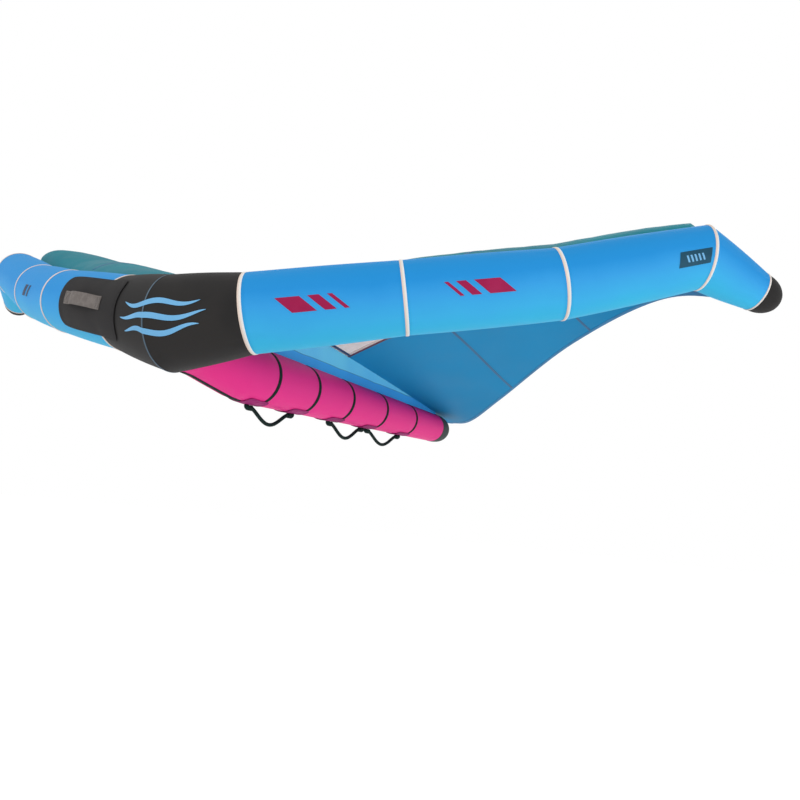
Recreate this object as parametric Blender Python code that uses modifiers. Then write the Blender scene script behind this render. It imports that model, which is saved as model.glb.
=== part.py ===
"""An inflatable wingfoil wing, in metres, +Z up.

The leading edge faces -Y, the strut runs towards +Y and the wing is the same left and right of X = 0.
The origin is the middle of the front handle's grip, where a hand holds the wing."""

import math

import bmesh
import bpy
from mathutils import Matrix, Vector

# A place along the leading edge is counted in its stations, and is a share too: 1.32 lies 0.32 of
# the way from the first seam to the second.

# Whole wing
HALF_SPAN = 1.404
ROOT_CHORD = 1.90  # leading edge axis to trailing edge, at the middle of the wing
TIP_SWEEP = 0.745  # how far the tip lies behind the middle of the leading edge
WING_RISE = 0.305  # how far the leading edge climbs from its middle to its highest seam

# Leading edge tube: its stations are the middle, the four seams, the cap seam and the tip
EDGE_RADIUS = 0.128
EDGE_HEIGHT = 0.075  # axis of the tube over the axis of the strut
EDGE_SPAN_SHARES = (0.0, 0.140, 0.401, 0.644, 0.875, 0.968, 1.0)
EDGE_SWEEP_SHARES = (0.0, 0.075, 0.262, 0.535, 0.785, 0.945, 1.0)
EDGE_RISE_SHARES = (0.0, 0.129, 0.359, 0.628, 1.0, 0.790, 0.730)
EDGE_RADIUS_SHARES = (1.0, 0.828, 0.752, 0.738, 0.674, 0.421, 0.191)
EDGE_SIDES = 24
CASING_WALL = 0.0016
BULGE_SHARE = 0.018  # how much a panel swells between its seams
BLADDER_WALL = 0.0010
BLADDER_GAP = 0.00095
SEAM_GAP = 0.0003
TAPE_WIDTH = 0.0095
TAPE_THICKNESS = 0.0012
CAP_STEPS = 4
CAP_LENGTH = 0.070
BLADDER_END_SHARE = 4.9

# Strut: its places are shares of its length, and it runs straight between the first table's
STRUT_SETBACK = 0.085  # from its end cap's tip to the trailing edge
STRUT_CAP_LENGTH = 0.085
STRUT_LENGTH = ROOT_CHORD - STRUT_SETBACK - STRUT_CAP_LENGTH  # leading edge's axis to the end cap
STRUT_RADIUS = 0.086
STRUT_NOSE_LIFT = 0.030  # how far the nose rises into the leading edge
STRUT_PLACE_SHARES = (0.0, 0.052, 0.104, 0.159, 0.214, 1.0)
STRUT_RADIUS_SHARES = (0.814, 0.842, 0.907, 0.972, 1.0, 0.651)
STRUT_LIFT_SHARES = (1.0, 0.853, 0.50, 0.147, 0.0, 0.0)
STRUT_SIDES = 24
STRUT_CAP_STEPS = 5
STRUT_CAP_POWER = 0.8  # under 1 makes the end cap blunter than an ellipse
STRUT_BLADDER_GAP = 0.030  # between the leading edge tube and the strut's bladder
BAND_SHARES = (0.231, 0.370, 0.509, 0.665, 0.821)
BAND_WIDTH = 0.011
BAND_THICKNESS = 0.0014
BAND_OPEN_SIDES = 1  # sides of the strut left open each way from its top, for the web's foot

# Canopy
CANOPY_THICKNESS = 0.0016
PANEL_GAP = 0.0008
MIDDLE_GAP = 0.0018  # between the canopy's halves, which tilt towards each other over the web
ATTACH_ANGLE = math.radians(50)  # round the tube, up from straight back
ATTACH_CLEARANCE = 2 * SEAM_GAP + TAPE_THICKNESS + 0.5 * CANOPY_THICKNESS
TRAIL_SPAN_SHARES = (0.0, 0.093, 0.230, 0.484, 0.748, 0.958)
CHORD_SHARES = (1.0, 0.9156, 0.7523, 0.4952, 0.2452, 0.0615)
TRAIL_HEIGHT = 0.045  # trailing edge over the strut's axis, at the middle
TRAIL_RISE = 0.350
TRAIL_RISE_SHARES = (0.0, 0.014, 0.239, 0.725, 0.990, 0.803)
CAMBER = 0.137
CAMBER_SHARES = (0.361, 0.777, 1.0, 0.824, 0.608, 0.153)
CREST_POWER = 0.6  # puts the crest of the camber at a third of the chord
NOSE_END_SHARE = 1.32  # in stations, where the black nose panel and the window end
NOSE_SHARE = 0.12  # of the chord
WINDOW_SHARES = (0.47, 0.33)  # rear edge of the window, at the web and at its outer end
SEAM_SHARES = (2.0, 3.0)  # where the panels' chordwise seams meet the leading edge
CANOPY_END_SHARE = 4.97
BAY_COLUMNS = 4
BESIDE_COLUMNS = 3
PANEL_COLUMNS = 4
NOSE_ROWS = 3
WINDOW_ROWS = 4
FRONT_ROWS = 4
BACK_ROWS = 6
HEM_WIDTH = 0.014
HEM_THICKNESS = 0.0026
HEM_SLOPE_SHARE = 0.97  # of the chord; the hem carries on the slope from here to the edge

# Web between strut and canopy
WEB_THICKNESS = 0.0016
WEB_CLEARANCE = 0.0006
WEB_STEPS = 3
WEB_FRONT_STEPS = 12

# Handles under the strut
HANDLE_RADIUS = 0.0060
HANDLE_DROP = 0.050  # strut to the middle of the grip
HANDLE_SHARES = ((0.214, 0.350), (0.491, 0.627), (0.650, 0.801))
HANDLE_POINTS = 16
HANDLE_POWER = 1.3  # over 1 makes the loop narrower towards its grip
PIVOT_LENGTH = 0.020
SLEEVE_CLEARANCE = 0.0004
SLEEVE_WALL = 0.0018
SLEEVE_ROOF = 0.0008  # left between the sleeve's bore and the face of its patch
SLEEVE_LENGTH = 0.016
SLEEVE_SIDES = 16
PATCH_LENGTH = 0.100
PATCH_THICKNESS = 0.0016
PATCH_SIDES = 2  # sides of the strut that a patch covers each way from the bottom
PATCH_LIFT = 2 * SEAM_GAP + BAND_THICKNESS + PATCH_THICKNESS  # its face over the strut's skin
PIVOT_DROP = PATCH_LIFT + SLEEVE_ROOF + SLEEVE_CLEARANCE + HANDLE_RADIUS
SPINE_WIDTH = 0.018
SPINE_THICKNESS = 0.0018
SPINE_START_SHARE = 0.043
SPINE_COLUMNS = 2

# Grab strap on the leading edge, left of the middle
STRAP_PATCH_SHARES = (0.55, 1.62)
STRAP_PATCH_SIDES = (9, 15)  # counted round the tube from its back
STRAP_PATCH_THICKNESS = 0.0014
STRAP_SHARES = (0.92, 1.52)
STRAP_WIDTH = 0.038
STRAP_THICKNESS = 0.0030
STRAP_PROUD = 0.020
STRAP_ANGLE = math.radians(176)
STRAP_FLAT_SHARE = 0.16  # of its length, sewn flat at each end
STRAP_POWER = 0.7  # under 1 makes the strap stand up sooner from its sewn ends
STRAP_STEPS = 14
STRAP_COLUMNS = 3

# Inflation valves, left of the middle: one behind the leading edge and one on the strut
EDGE_VALVE_SHARES = (0.5, 1.0)  # stations of the flat that it stands in the middle of
EDGE_VALVE_SIDE = -2  # of the tube's sides, from its back
STRUT_VALVE_SHARES = (0.258, 0.344)
STRUT_VALVE_SIDE = 11
VALVE_SIDES = 16
VALVE_NECK_RADIUS = 0.0150
VALVE_NECK_WALL = 0.0035
VALVE_NECK_HEIGHT = 0.0120
VALVE_DEPTH = 0.0120
VALVE_SEAT_GAP = 0.0005
VALVE_CLEARANCE = 0.0004
VALVE_CAP_GAP = 0.0023  # between the neck and the cap's skirt, which swings past it
VALVE_CAP_WALL = 0.0022
VALVE_CAP_RADIUS = VALVE_NECK_RADIUS + VALVE_CAP_GAP + VALVE_CAP_WALL
VALVE_CAP_DEPTH = 0.0085
PIN_RADIUS = 0.0020
PIN_SIDES = 12
KNUCKLE_WALL = 0.0018
KNUCKLE_RADIUS = PIN_RADIUS + VALVE_CLEARANCE + KNUCKLE_WALL
KNUCKLE_LENGTH = 0.0100
KNUCKLE_GAP = 0.0018  # between the cap's skirt and the knuckle
HINGE_PLACE = VALVE_CAP_RADIUS + KNUCKLE_GAP + KNUCKLE_RADIUS  # from the valve's axis
LUG_THICKNESS = 0.0030
FLANGE_RIM = 0.0025  # how far the flange reaches past the hinge
FLANGE_RADIUS = HINGE_PLACE + FLANGE_RIM
FLANGE_THICKNESS = 0.0024
FLANGE_TOP = VALVE_SEAT_GAP + FLANGE_THICKNESS
HINGE_HEIGHT = FLANGE_TOP + VALVE_CLEARANCE + KNUCKLE_RADIUS

CUT_OVERRUN = 0.010  # how far a cutter reaches past what it cuts
WELD = 0.000001
SMOOTH_ANGLE = math.radians(40)
UP = Vector((0, 0, 1))
SIDES = {"left": -1, "right": 1}


def collections():
    """One collection for the wing and one for the cutters."""
    scene = bpy.context.scene
    made = []
    for name in ("wingfoil_wing", "cutters"):
        group = bpy.data.collections.new(name)
        scene.collection.children.link(group)
        made.append(group)
    return made


def material(name, colour, roughness, metallic=0.0):
    made = bpy.data.materials.new(name)
    made.use_nodes = True
    shader = made.node_tree.nodes["Principled BSDF"]
    shader.inputs["Base Color"].default_value = (*colour, 1.0)
    shader.inputs["Roughness"].default_value = roughness
    shader.inputs["Metallic"].default_value = metallic
    return made


def make_object(name, mesh, finish, group, parent=None):
    obj = bpy.data.objects.new(name, mesh)
    obj.parent = parent or frame
    if finish:
        mesh.materials.append(finish)
    group.objects.link(obj)
    return obj


def smooth(mesh):
    mesh.shade_smooth()
    mesh.set_sharp_from_angle(angle=SMOOTH_ANGLE)


def grid_mesh(name, rows, flip=False, closed=False, looped=False):
    """A sheet through rows of points; closed joins each row's ends, looped the last row to the first."""
    build = bmesh.new()
    made = [[build.verts.new(point) for point in row] for row in rows]
    count = len(rows[0])
    if looped:
        made.append(made[0])
    for near, far in zip(made, made[1:]):
        for i in range(count if closed else count - 1):
            j = (i + 1) % count
            corners = [near[i], near[j], far[j], far[i]]
            build.faces.new(corners[::-1] if flip else corners)
    mesh = bpy.data.meshes.new(name)
    build.to_mesh(mesh)
    build.free()
    smooth(mesh)
    return mesh


def merge(mesh):
    """Welds points that lie together and turns the faces outwards."""
    build = bmesh.new()
    build.from_mesh(mesh)
    bmesh.ops.remove_doubles(build, verts=build.verts, dist=WELD)
    bmesh.ops.recalc_face_normals(build, faces=build.faces)
    build.to_mesh(mesh)
    build.free()
    smooth(mesh)
    return mesh


def capped_mesh(name, rings):
    """A closed body through rings of points, with a flat face at each end."""
    mesh = grid_mesh(name, rings, closed=True)
    build = bmesh.new()
    build.from_mesh(mesh)
    bmesh.ops.holes_fill(build, edges=build.edges, sides=0)
    build.to_mesh(mesh)
    build.free()
    return merge(mesh)


def circle(middle, first, second, reach, sides):
    """Points round a circle that lies along two directions."""
    turns = [math.tau * i / sides for i in range(sides)]
    return [middle + (first * math.cos(a) + second * math.sin(a)) * reach for a in turns]


def dome_mesh(name, middle, axes, radius, length, sides, steps, power=1.0):
    """A hollow dome over a flat ring: out along its skin to the pole, and back inside its wall."""
    first, second, along = axes
    rings = []
    for inset, order in ((0.0, range(steps + 1)), (CASING_WALL, range(steps, -1, -1))):
        for step in order:
            angle = 0.5 * math.pi * step / steps
            reach = (radius - inset) * max(math.cos(angle), 0.0) ** power
            place = middle + along * ((length - inset) * math.sin(angle))
            rings.append(circle(place, first, second, reach if step < steps else 0.0, sides))
    return merge(grid_mesh(name, rings, closed=True, looped=True))


def solidify(obj, thickness, offset):
    """Offset 1 grows along the normals, -1 against them and 0 both ways."""
    shell = obj.modifiers.new("wall", "SOLIDIFY")
    shell.thickness = thickness
    shell.offset = offset
    shell.use_even_offset = True
    return obj


def cut(obj, cutter):
    tool = obj.modifiers.new("cut", "BOOLEAN")
    tool.operation = "DIFFERENCE"
    tool.object = cutter


def join(obj, other):
    tool = obj.modifiers.new("join", "BOOLEAN")
    tool.operation = "UNION"
    tool.object = other


def as_cutter(name, mesh, parent=None):
    obj = make_object(name, mesh, None, cutters, parent)
    obj.hide_render = True
    obj.display_type = "WIRE"
    return obj


def side_angles(first, last, sides):
    """Angles of a tube's edges, so that what lies on the tube has the same flats."""
    return [math.tau * i / sides for i in range(first, last + 1)]


def through(values, position):
    """A smooth curve through a table's values, which stand at positions 0, 1, 2 and so on."""
    last = len(values) - 1
    low = min(int(position), last - 1)
    share = position - low
    start, end = values[low], values[low + 1]
    before = values[low - 1] if low > 0 else start * 2 - end
    after = values[low + 2] if low + 2 <= last else end * 2 - start
    return 0.5 * (
        start * 2
        + (end - before) * share
        + (before * 2 - start * 5 + end * 4 - after) * share**2
        + (start * 3 - before - end * 3 + after) * share**3
    )


# The leading edge


def edge_station(number, side):
    return Vector(
        (
            side * HALF_SPAN * EDGE_SPAN_SHARES[number],
            TIP_SWEEP * EDGE_SWEEP_SHARES[number],
            EDGE_HEIGHT + WING_RISE * EDGE_RISE_SHARES[number],
        )
    )


def edge_direction(number, side):
    """The normal of the seam's plane, which halves the bend there."""
    if number == 0:
        return Vector((side, 0, 0))
    here = edge_station(number, side)
    inward = (here - edge_station(number - 1, side)).normalized()
    if number == len(EDGE_SPAN_SHARES) - 1:
        return inward
    outward = (edge_station(number + 1, side) - here).normalized()
    return (inward + outward).normalized()


def edge_length(number, side=1):
    """The length of the tube from one station to the next."""
    return (edge_station(number + 1, side) - edge_station(number, side)).length


def edge_frame(position, side):
    """Centre, radius, back and up directions of the tube at a position counted in stations."""
    number = min(int(position), len(EDGE_SPAN_SHARES) - 2)
    share = position - number
    centre = edge_station(number, side).lerp(edge_station(number + 1, side), share)
    along = edge_direction(number, side).lerp(edge_direction(number + 1, side), share)
    along.normalize()
    near, far = EDGE_RADIUS_SHARES[number : number + 2]
    radius = EDGE_RADIUS * (near + (far - near) * share)
    radius *= 1 + BULGE_SHARE * math.sin(math.pi * share)
    up = (UP - along * along.dot(UP)).normalized()
    back = up.cross(along) * side
    return centre, radius, back, up


def edge_point(position, side, angle, lift=0.0):
    """A point on the tube; angle 0 is its back, 90 degrees its top."""
    centre, radius, back, up = edge_frame(position, side)
    return centre + (back * math.cos(angle) + up * math.sin(angle)) * (radius + lift)


def edge_ring(position, side, lift=0.0):
    step = math.tau / EDGE_SIDES
    return [edge_point(position, side, i * step, lift) for i in range(EDGE_SIDES)]


def edge_tube(name, positions, side, lift, wall, finish):
    """A stretch of tube whose ends lie flat in the planes of its seams."""
    rings = [edge_ring(position, side, lift) for position in positions]
    rings += [edge_ring(position, side, lift - wall) for position in positions[::-1]]
    mesh = grid_mesh(name, rings, flip=side < 0, closed=True, looped=True)
    return make_object(name, mesh, finish, parts)


def seam_trim(number):
    return 0.5 * SEAM_GAP / edge_length(number)


def edge_panels():
    names = ("centre", "inner", "middle", "outer", "tip")
    finishes = (black_cloth, blue_cloth, blue_cloth, blue_cloth, blue_cloth)
    for word, side in SIDES.items():
        for number, (name, finish) in enumerate(zip(names, finishes)):
            trim = seam_trim(number)
            places = (number + trim, number + 0.5, number + 1 - trim)
            edge_tube(f"edge_{name}_panel_{word}", places, side, 0.0, CASING_WALL, finish)


def seam_tapes():
    """White tapes over the seams, each bent in the plane of its seam."""
    for word, side in SIDES.items():
        for number in range(1, 6):
            before = 0.5 * TAPE_WIDTH / edge_length(number - 1)
            after = 0.5 * TAPE_WIDTH / edge_length(number)
            places = (number - before, number, number + after)[: 2 if number == 5 else 3]
            lift = SEAM_GAP + TAPE_THICKNESS
            name = f"seam_tape_{number}_{word}"
            edge_tube(name, places, side, lift, TAPE_THICKNESS, white_tape)


def tip_caps():
    """Black domes that close the tube, each a quarter ellipse carried past the cap seam."""
    last = len(EDGE_SPAN_SHARES) - 2
    for word, side in SIDES.items():
        centre, radius, back, up = edge_frame(last + seam_trim(last), side)
        along = (edge_station(last + 1, side) - edge_station(last, side)).normalized()
        axes = (back, up, along)
        mesh = dome_mesh(
            f"tip_cap_{word}", centre, axes, radius, CAP_LENGTH, EDGE_SIDES, CAP_STEPS
        )
        make_object(mesh.name, mesh, black_cloth, parts)


def edge_bladder():
    """The airtight tube inside the casing, from tip to tip."""
    inset = CASING_WALL + BLADDER_GAP
    half = [0.0, 0.5, *range(1, 5), BLADDER_END_SHARE]
    places = [(position, -1) for position in half[:0:-1]] + [(position, 1) for position in half]
    rings = [edge_ring(position, side, -inset) for position, side in places]
    inset += BLADDER_WALL
    rings += [edge_ring(position, side, -inset) for position, side in places[::-1]]
    mesh = grid_mesh("edge_bladder", rings, closed=True, looped=True)
    return make_object("edge_bladder", mesh, bladder_film, parts)


# The strut


def strut_frame(place):
    """Centre and radius of the strut at a place along it."""
    share = place / STRUT_LENGTH
    shares = STRUT_PLACE_SHARES
    later = next((i for i, known in enumerate(shares[1:-1], 1) if share <= known), -1)
    inner = (share - shares[later - 1]) / (shares[later] - shares[later - 1])
    lift_share = STRUT_LIFT_SHARES[later - 1] * (1 - inner) + STRUT_LIFT_SHARES[later] * inner
    radius_share = STRUT_RADIUS_SHARES[later - 1] * (1 - inner) + STRUT_RADIUS_SHARES[later] * inner
    return Vector((0, place, STRUT_NOSE_LIFT * lift_share)), STRUT_RADIUS * radius_share


def strut_places(start, end):
    """The start, the end and the bends between them, so that what lies on the strut bends with it."""
    bends = [STRUT_LENGTH * share for share in STRUT_PLACE_SHARES]
    return [start, *(place for place in bends if start < place < end), end]


def strut_point(place, angle, lift=0.0):
    """A point on the strut; angle 0 is its right side, 90 degrees its top."""
    centre, radius = strut_frame(place)
    reach = radius + lift
    return centre + Vector((reach * math.cos(angle), 0, reach * math.sin(angle)))


def strut_ring(place, lift=0.0, sides=STRUT_SIDES):
    return [strut_point(place, math.tau * i / sides, lift) for i in range(sides)]


def strut_casing():
    places = strut_places(0.0, STRUT_LENGTH - 0.5 * SEAM_GAP)
    mesh = grid_mesh("strut_casing", [strut_ring(p) for p in places], flip=True, closed=True)
    casing = make_object("strut_casing", mesh, pink_cloth, parts)
    solidify(casing, CASING_WALL, -1)
    cut(casing, edge_cutter)
    return casing


def strut_bladder():
    inset = CASING_WALL + BLADDER_GAP
    places = strut_places(EDGE_RADIUS + STRUT_BLADDER_GAP, STRUT_LENGTH - CUT_OVERRUN)
    mesh = grid_mesh(
        "strut_bladder", [strut_ring(p, -inset) for p in places], flip=True, closed=True
    )
    return solidify(make_object("strut_bladder", mesh, bladder_film, parts), BLADDER_WALL, -1)


def strut_end_cap():
    place = STRUT_LENGTH + 0.5 * SEAM_GAP
    radius = strut_frame(STRUT_LENGTH)[1]
    axes = (Vector((1, 0, 0)), UP, Vector((0, 1, 0)))
    mesh = dome_mesh(
        "strut_end_cap", axes[2] * place, axes, radius, STRUT_CAP_LENGTH,
        STRUT_SIDES, STRUT_CAP_STEPS, STRUT_CAP_POWER,
    )
    make_object(mesh.name, mesh, dark_rubber, parts)


def strut_bands():
    """Dark tapes round the strut, open at the top for the foot of the web."""
    top = STRUT_SIDES // 4
    angles = side_angles(top + BAND_OPEN_SIDES, top + STRUT_SIDES - BAND_OPEN_SIDES, STRUT_SIDES)
    lift = SEAM_GAP + BAND_THICKNESS
    for number, share in enumerate(BAND_SHARES, 1):
        place = STRUT_LENGTH * share
        places = strut_places(place - 0.5 * BAND_WIDTH, place + 0.5 * BAND_WIDTH)
        rows = [[strut_point(near, a, lift) for a in angles] for near in places]
        name = f"strut_band_{number}"
        mesh = grid_mesh(name, rows, flip=True)
        solidify(make_object(name, mesh, dark_webbing, parts), BAND_THICKNESS, -1)


# The canopy


def trail_point(position, side):
    """The trailing edge at a position counted in stations of the leading edge."""
    return Vector(
        (
            side * HALF_SPAN * through(TRAIL_SPAN_SHARES, position),
            TIP_SWEEP * through(EDGE_SWEEP_SHARES[:-1], position)
            + ROOT_CHORD * through(CHORD_SHARES, position),
            TRAIL_HEIGHT + TRAIL_RISE * through(TRAIL_RISE_SHARES, position),
        )
    )


def canopy_point(position, share, side):
    """A point on the canopy, a share of the chord behind the leading edge tube."""
    lead = edge_point(position, side, ATTACH_ANGLE, ATTACH_CLEARANCE)
    if position == 0:
        lead.x = 0
    trail = trail_point(position, side)
    camber = CAMBER * through(CAMBER_SHARES, position)
    point = lead.lerp(trail, share)
    point.z += camber * math.sin(math.pi * share**CREST_POWER)
    return point


def half_point(position, share, side):
    """A point on a half of the canopy, whose first column stands off the wing's middle."""
    point = canopy_point(position, share, side)
    if position == 0:
        point.x = side * 0.5 * MIDDLE_GAP
    return point


def chord_length(position):
    return (canopy_point(position, 1.0, 1) - canopy_point(position, 0.0, 1)).length


def gap_in_stations(position):
    low = min(int(position), 4)
    return 0.5 * PANEL_GAP / edge_length(low)


def spread(start, end, steps):
    return [start + (end - start) * i / steps for i in range(steps + 1)]


def window_end(position):
    """The share of the chord where the window's slanted rear edge lies."""
    near, far = WINDOW_SHARES
    return near + (far - near) * min(position / NOSE_END_SHARE, 1.0)


def sheet(name, rows, side, finish):
    mesh = grid_mesh(name, rows, flip=side < 0)
    return solidify(make_object(name, mesh, finish, parts), CANOPY_THICKNESS, 0)


def chord_gap(position):
    return 0.5 * PANEL_GAP / chord_length(position)


def nose_panel():
    inner = spread(0.0, NOSE_END_SHARE - gap_in_stations(1), BAY_COLUMNS)
    rows = []
    for side, positions in ((-1, inner[:0:-1]), (1, inner)):
        for position in positions:
            end = NOSE_SHARE - chord_gap(position)
            rows.append([canopy_point(position, t, side) for t in spread(0.0, end, NOSE_ROWS)])
    sheet("canopy_nose_panel", rows, 1, black_canopy)


def window(word, side):
    positions = spread(0.0, NOSE_END_SHARE - gap_in_stations(1), BAY_COLUMNS)
    rows = []
    for position in positions:
        start = NOSE_SHARE + chord_gap(position)
        end = window_end(position) - chord_gap(position)
        rows.append([half_point(position, t, side) for t in spread(start, end, WINDOW_ROWS)])
    sheet(f"window_{word}", rows, side, clear_film)


def chord_rows():
    """Shares of the chord ahead of the window's outer corner and behind it, alike in every panel."""
    corner = window_end(NOSE_END_SHARE)
    return spread(0.0, corner, FRONT_ROWS)[:-1], spread(corner, 1.0, BACK_ROWS)


def inner_panel(word, side):
    """An L-shaped panel: it fills the bay beside the window and runs on behind it."""
    outer_start = NOSE_END_SHARE + gap_in_stations(1)
    behind = spread(0.0, outer_start, BAY_COLUMNS)
    beside = spread(outer_start, SEAM_SHARES[0] - gap_in_stations(1), BESIDE_COLUMNS)[1:]
    front, back = chord_rows()
    corner = back[0]
    build = bmesh.new()
    made = {}
    for column, position in enumerate(behind + beside):
        near = window_end(position) + chord_gap(position)
        at_window = column < len(behind) - 1
        for row, share in enumerate(front + back):
            if at_window and row < len(front):
                continue
            place = share
            if at_window:
                place = near + (share - corner) * (1 - near) / (1 - corner)
            made[column, row] = build.verts.new(half_point(position, place, side))
    for column, row in made:
        corners = [(column, row), (column, row + 1), (column + 1, row + 1), (column + 1, row)]
        if all(corner in made for corner in corners):
            faces = [made[corner] for corner in corners]
            build.faces.new(faces if side > 0 else faces[::-1])
    mesh = bpy.data.meshes.new(f"canopy_inner_panel_{word}")
    build.to_mesh(mesh)
    build.free()
    smooth(mesh)
    panel = make_object(mesh.name, mesh, blue_canopy, parts)
    solidify(panel, CANOPY_THICKNESS, 0)


def plain_panel(name, positions, side):
    front, back = chord_rows()
    rows = []
    for position in positions:
        rows.append([canopy_point(position, share, side) for share in front + back])
    sheet(name, rows, side, blue_canopy)


def panel_columns(start, end):
    return spread(start, end, PANEL_COLUMNS)


def hem(word, side):
    """The folded strip along the trailing edge."""
    first, second = SEAM_SHARES
    positions = spread(0.0, NOSE_END_SHARE, BAY_COLUMNS)
    positions += spread(NOSE_END_SHARE, first, BESIDE_COLUMNS)[1:] + panel_columns(first, second)[1:]
    positions += panel_columns(second, second + 1)[1:]
    positions += panel_columns(second + 1, CANOPY_END_SHARE)[1:]
    rows = []
    for position in positions:
        edge = half_point(position, 1.0, side)
        out = (edge - half_point(position, HEM_SLOPE_SHARE, side)).normalized()
        rows.append([edge + out * PANEL_GAP, edge + out * (PANEL_GAP + HEM_WIDTH)])
    mesh = grid_mesh(f"trailing_edge_hem_{word}", rows, flip=side < 0)
    solidify(make_object(mesh.name, mesh, dark_webbing, parts), HEM_THICKNESS, 0)


def canopy():
    nose_panel()
    first, second = SEAM_SHARES
    for word, side in SIDES.items():
        window(word, side)
        inner_panel(word, side)
        gap = gap_in_stations(first)
        middle = panel_columns(first + gap, second - gap)
        plain_panel(f"canopy_middle_panel_{word}", middle, side)
        outer = panel_columns(second + gap, second + 1)
        outer += panel_columns(second + 1, CANOPY_END_SHARE)[1:]
        plain_panel(f"canopy_outer_panel_{word}", outer, side)
        hem(word, side)


def middle_line():
    """Points along the canopy's middle, on the straight runs between its panels' rows."""
    front, back = chord_rows()
    near, far = WINDOW_SHARES[0], back[0]
    rows = spread(0.0, NOSE_SHARE, NOSE_ROWS) + spread(NOSE_SHARE, near, WINDOW_ROWS)[1:]
    rows += [near + (share - far) * (1 - near) / (1 - far) for share in back[1:]]
    points = [canopy_point(0.0, share, 1) for share in rows]
    line = []
    for start, end in zip(points, points[1:]):
        line += [start.lerp(end, share) for share in spread(0.0, 1.0, WEB_STEPS)[:-1]]
    return line


def web():
    """The upright panel that joins the strut's top to the middle of the canopy."""
    drop = 0.5 * CANOPY_THICKNESS + WEB_CLEARANCE
    reach = EDGE_RADIUS + WEB_CLEARANCE
    top = []
    for point in middle_line():
        centre, radius = strut_frame(point.y)
        clear = math.hypot(point.y, point.z - drop - EDGE_HEIGHT) > reach
        over = point.z - drop > centre.z + radius + 2 * WEB_CLEARANCE
        if clear and over and point.y < STRUT_LENGTH:
            top.append((point.y, point.z - drop))
    bottom = []
    for place in strut_places(0.5 * EDGE_RADIUS, top[-1][0])[::-1]:
        centre, radius = strut_frame(place)
        level = centre.z + radius + WEB_CLEARANCE
        if math.hypot(place, level - EDGE_HEIGHT) > reach:
            bottom.append((place, level))
    high = math.atan2(top[0][1] - EDGE_HEIGHT, top[0][0])
    low = math.atan2(bottom[-1][1] - EDGE_HEIGHT, bottom[-1][0])
    front = [
        (reach * math.cos(a), EDGE_HEIGHT + reach * math.sin(a))
        for a in spread(low, high, WEB_FRONT_STEPS)[1:-1]
    ]
    outline = bpy.data.curves.new("web_panel", "CURVE")
    outline.dimensions = "2D"
    outline.fill_mode = "BOTH"
    outline.extrude = 0.5 * WEB_THICKNESS
    spline = outline.splines.new("POLY")
    points = top + bottom + front
    spline.points.add(len(points) - 1)
    for place, (y, z) in zip(spline.points, points):
        place.co = (y, z, 0, 1)
    spline.use_cyclic_u = True
    panel = make_object("web_panel", outline, None, parts)
    outline.materials.append(web_cloth)
    panel.rotation_euler = (0.5 * math.pi, 0, 0.5 * math.pi)


# Handles


def strut_bottom(place, lift=0.0):
    return strut_point(place, -0.5 * math.pi, lift)


def pivot_line(ends):
    """Start and direction of the line that a handle swings about."""
    start = strut_bottom(ends[0], PIVOT_DROP)
    end = strut_bottom(ends[1], PIVOT_DROP)
    return start, end, (end - start).normalized()


def handle(name, ends):
    """A soft loop on a straight pivot at each end, with the grip hanging between them."""
    start, end, along = pivot_line(ends)
    length = (end - start).length
    low = HANDLE_DROP - PIVOT_DROP
    curve = bpy.data.curves.new(name, "CURVE")
    curve.dimensions = "3D"
    curve.bevel_depth = HANDLE_RADIUS
    curve.bevel_resolution = 2
    curve.use_fill_caps = True
    spline = curve.splines.new("POLY")
    inner = length - 2 * PIVOT_LENGTH
    places = [(0.0, 0.0)]
    for share in spread(0.0, 1.0, HANDLE_POINTS):
        fall = math.sin(math.pi * share) ** HANDLE_POWER
        places.append((PIVOT_LENGTH + inner * share, -low * fall))
    places.append((length, 0.0))
    spline.points.add(len(places) - 1)
    for point, (x, z) in zip(spline.points, places):
        point.co = (x, 0, z, 1)
    obj = make_object(name, curve, None, parts)
    curve.materials.append(dark_webbing)
    turn = along.to_track_quat("X", "Z")
    obj.location = start
    obj.rotation_euler = turn.to_euler()
    return obj


def tube_mesh(name, start, along, length, outer, bore, sides):
    """A short straight tube, built round its own axis."""
    first = along.orthogonal().normalized()
    second = along.cross(first)
    end = start + along * length
    profile = ((start, bore), (start, outer), (end, outer), (end, bore))
    rings = [circle(middle, first, second, reach, sides) for middle, reach in profile]
    return merge(grid_mesh(name, rings, closed=True, looped=True))


def handle_patch(name, middle, sleeves):
    """A patch sewn under the strut, with a sewn sleeve for each handle end that it holds."""
    low = -(STRUT_SIDES // 4)
    angles = side_angles(low - PATCH_SIDES, low + PATCH_SIDES, STRUT_SIDES)
    places = strut_places(middle - 0.5 * PATCH_LENGTH, middle + 0.5 * PATCH_LENGTH)
    rows = [[strut_point(place, a, PATCH_LIFT) for a in angles] for place in places]
    mesh = grid_mesh(name, rows, flip=True)
    patch = make_object(name, mesh, patch_cloth, parts)
    solidify(patch, PATCH_THICKNESS, -1)
    bore = HANDLE_RADIUS + SLEEVE_CLEARANCE
    for number, (start, along) in enumerate(sleeves):
        sleeve = tube_mesh(
            f"{name}_sleeve_{number}", start, along, SLEEVE_LENGTH,
            bore + SLEEVE_WALL, bore, SLEEVE_SIDES,
        )
        join(patch, as_cutter(sleeve.name, sleeve))
    return patch


def handle_span(number):
    return [STRUT_LENGTH * share for share in HANDLE_SHARES[number]]


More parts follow.
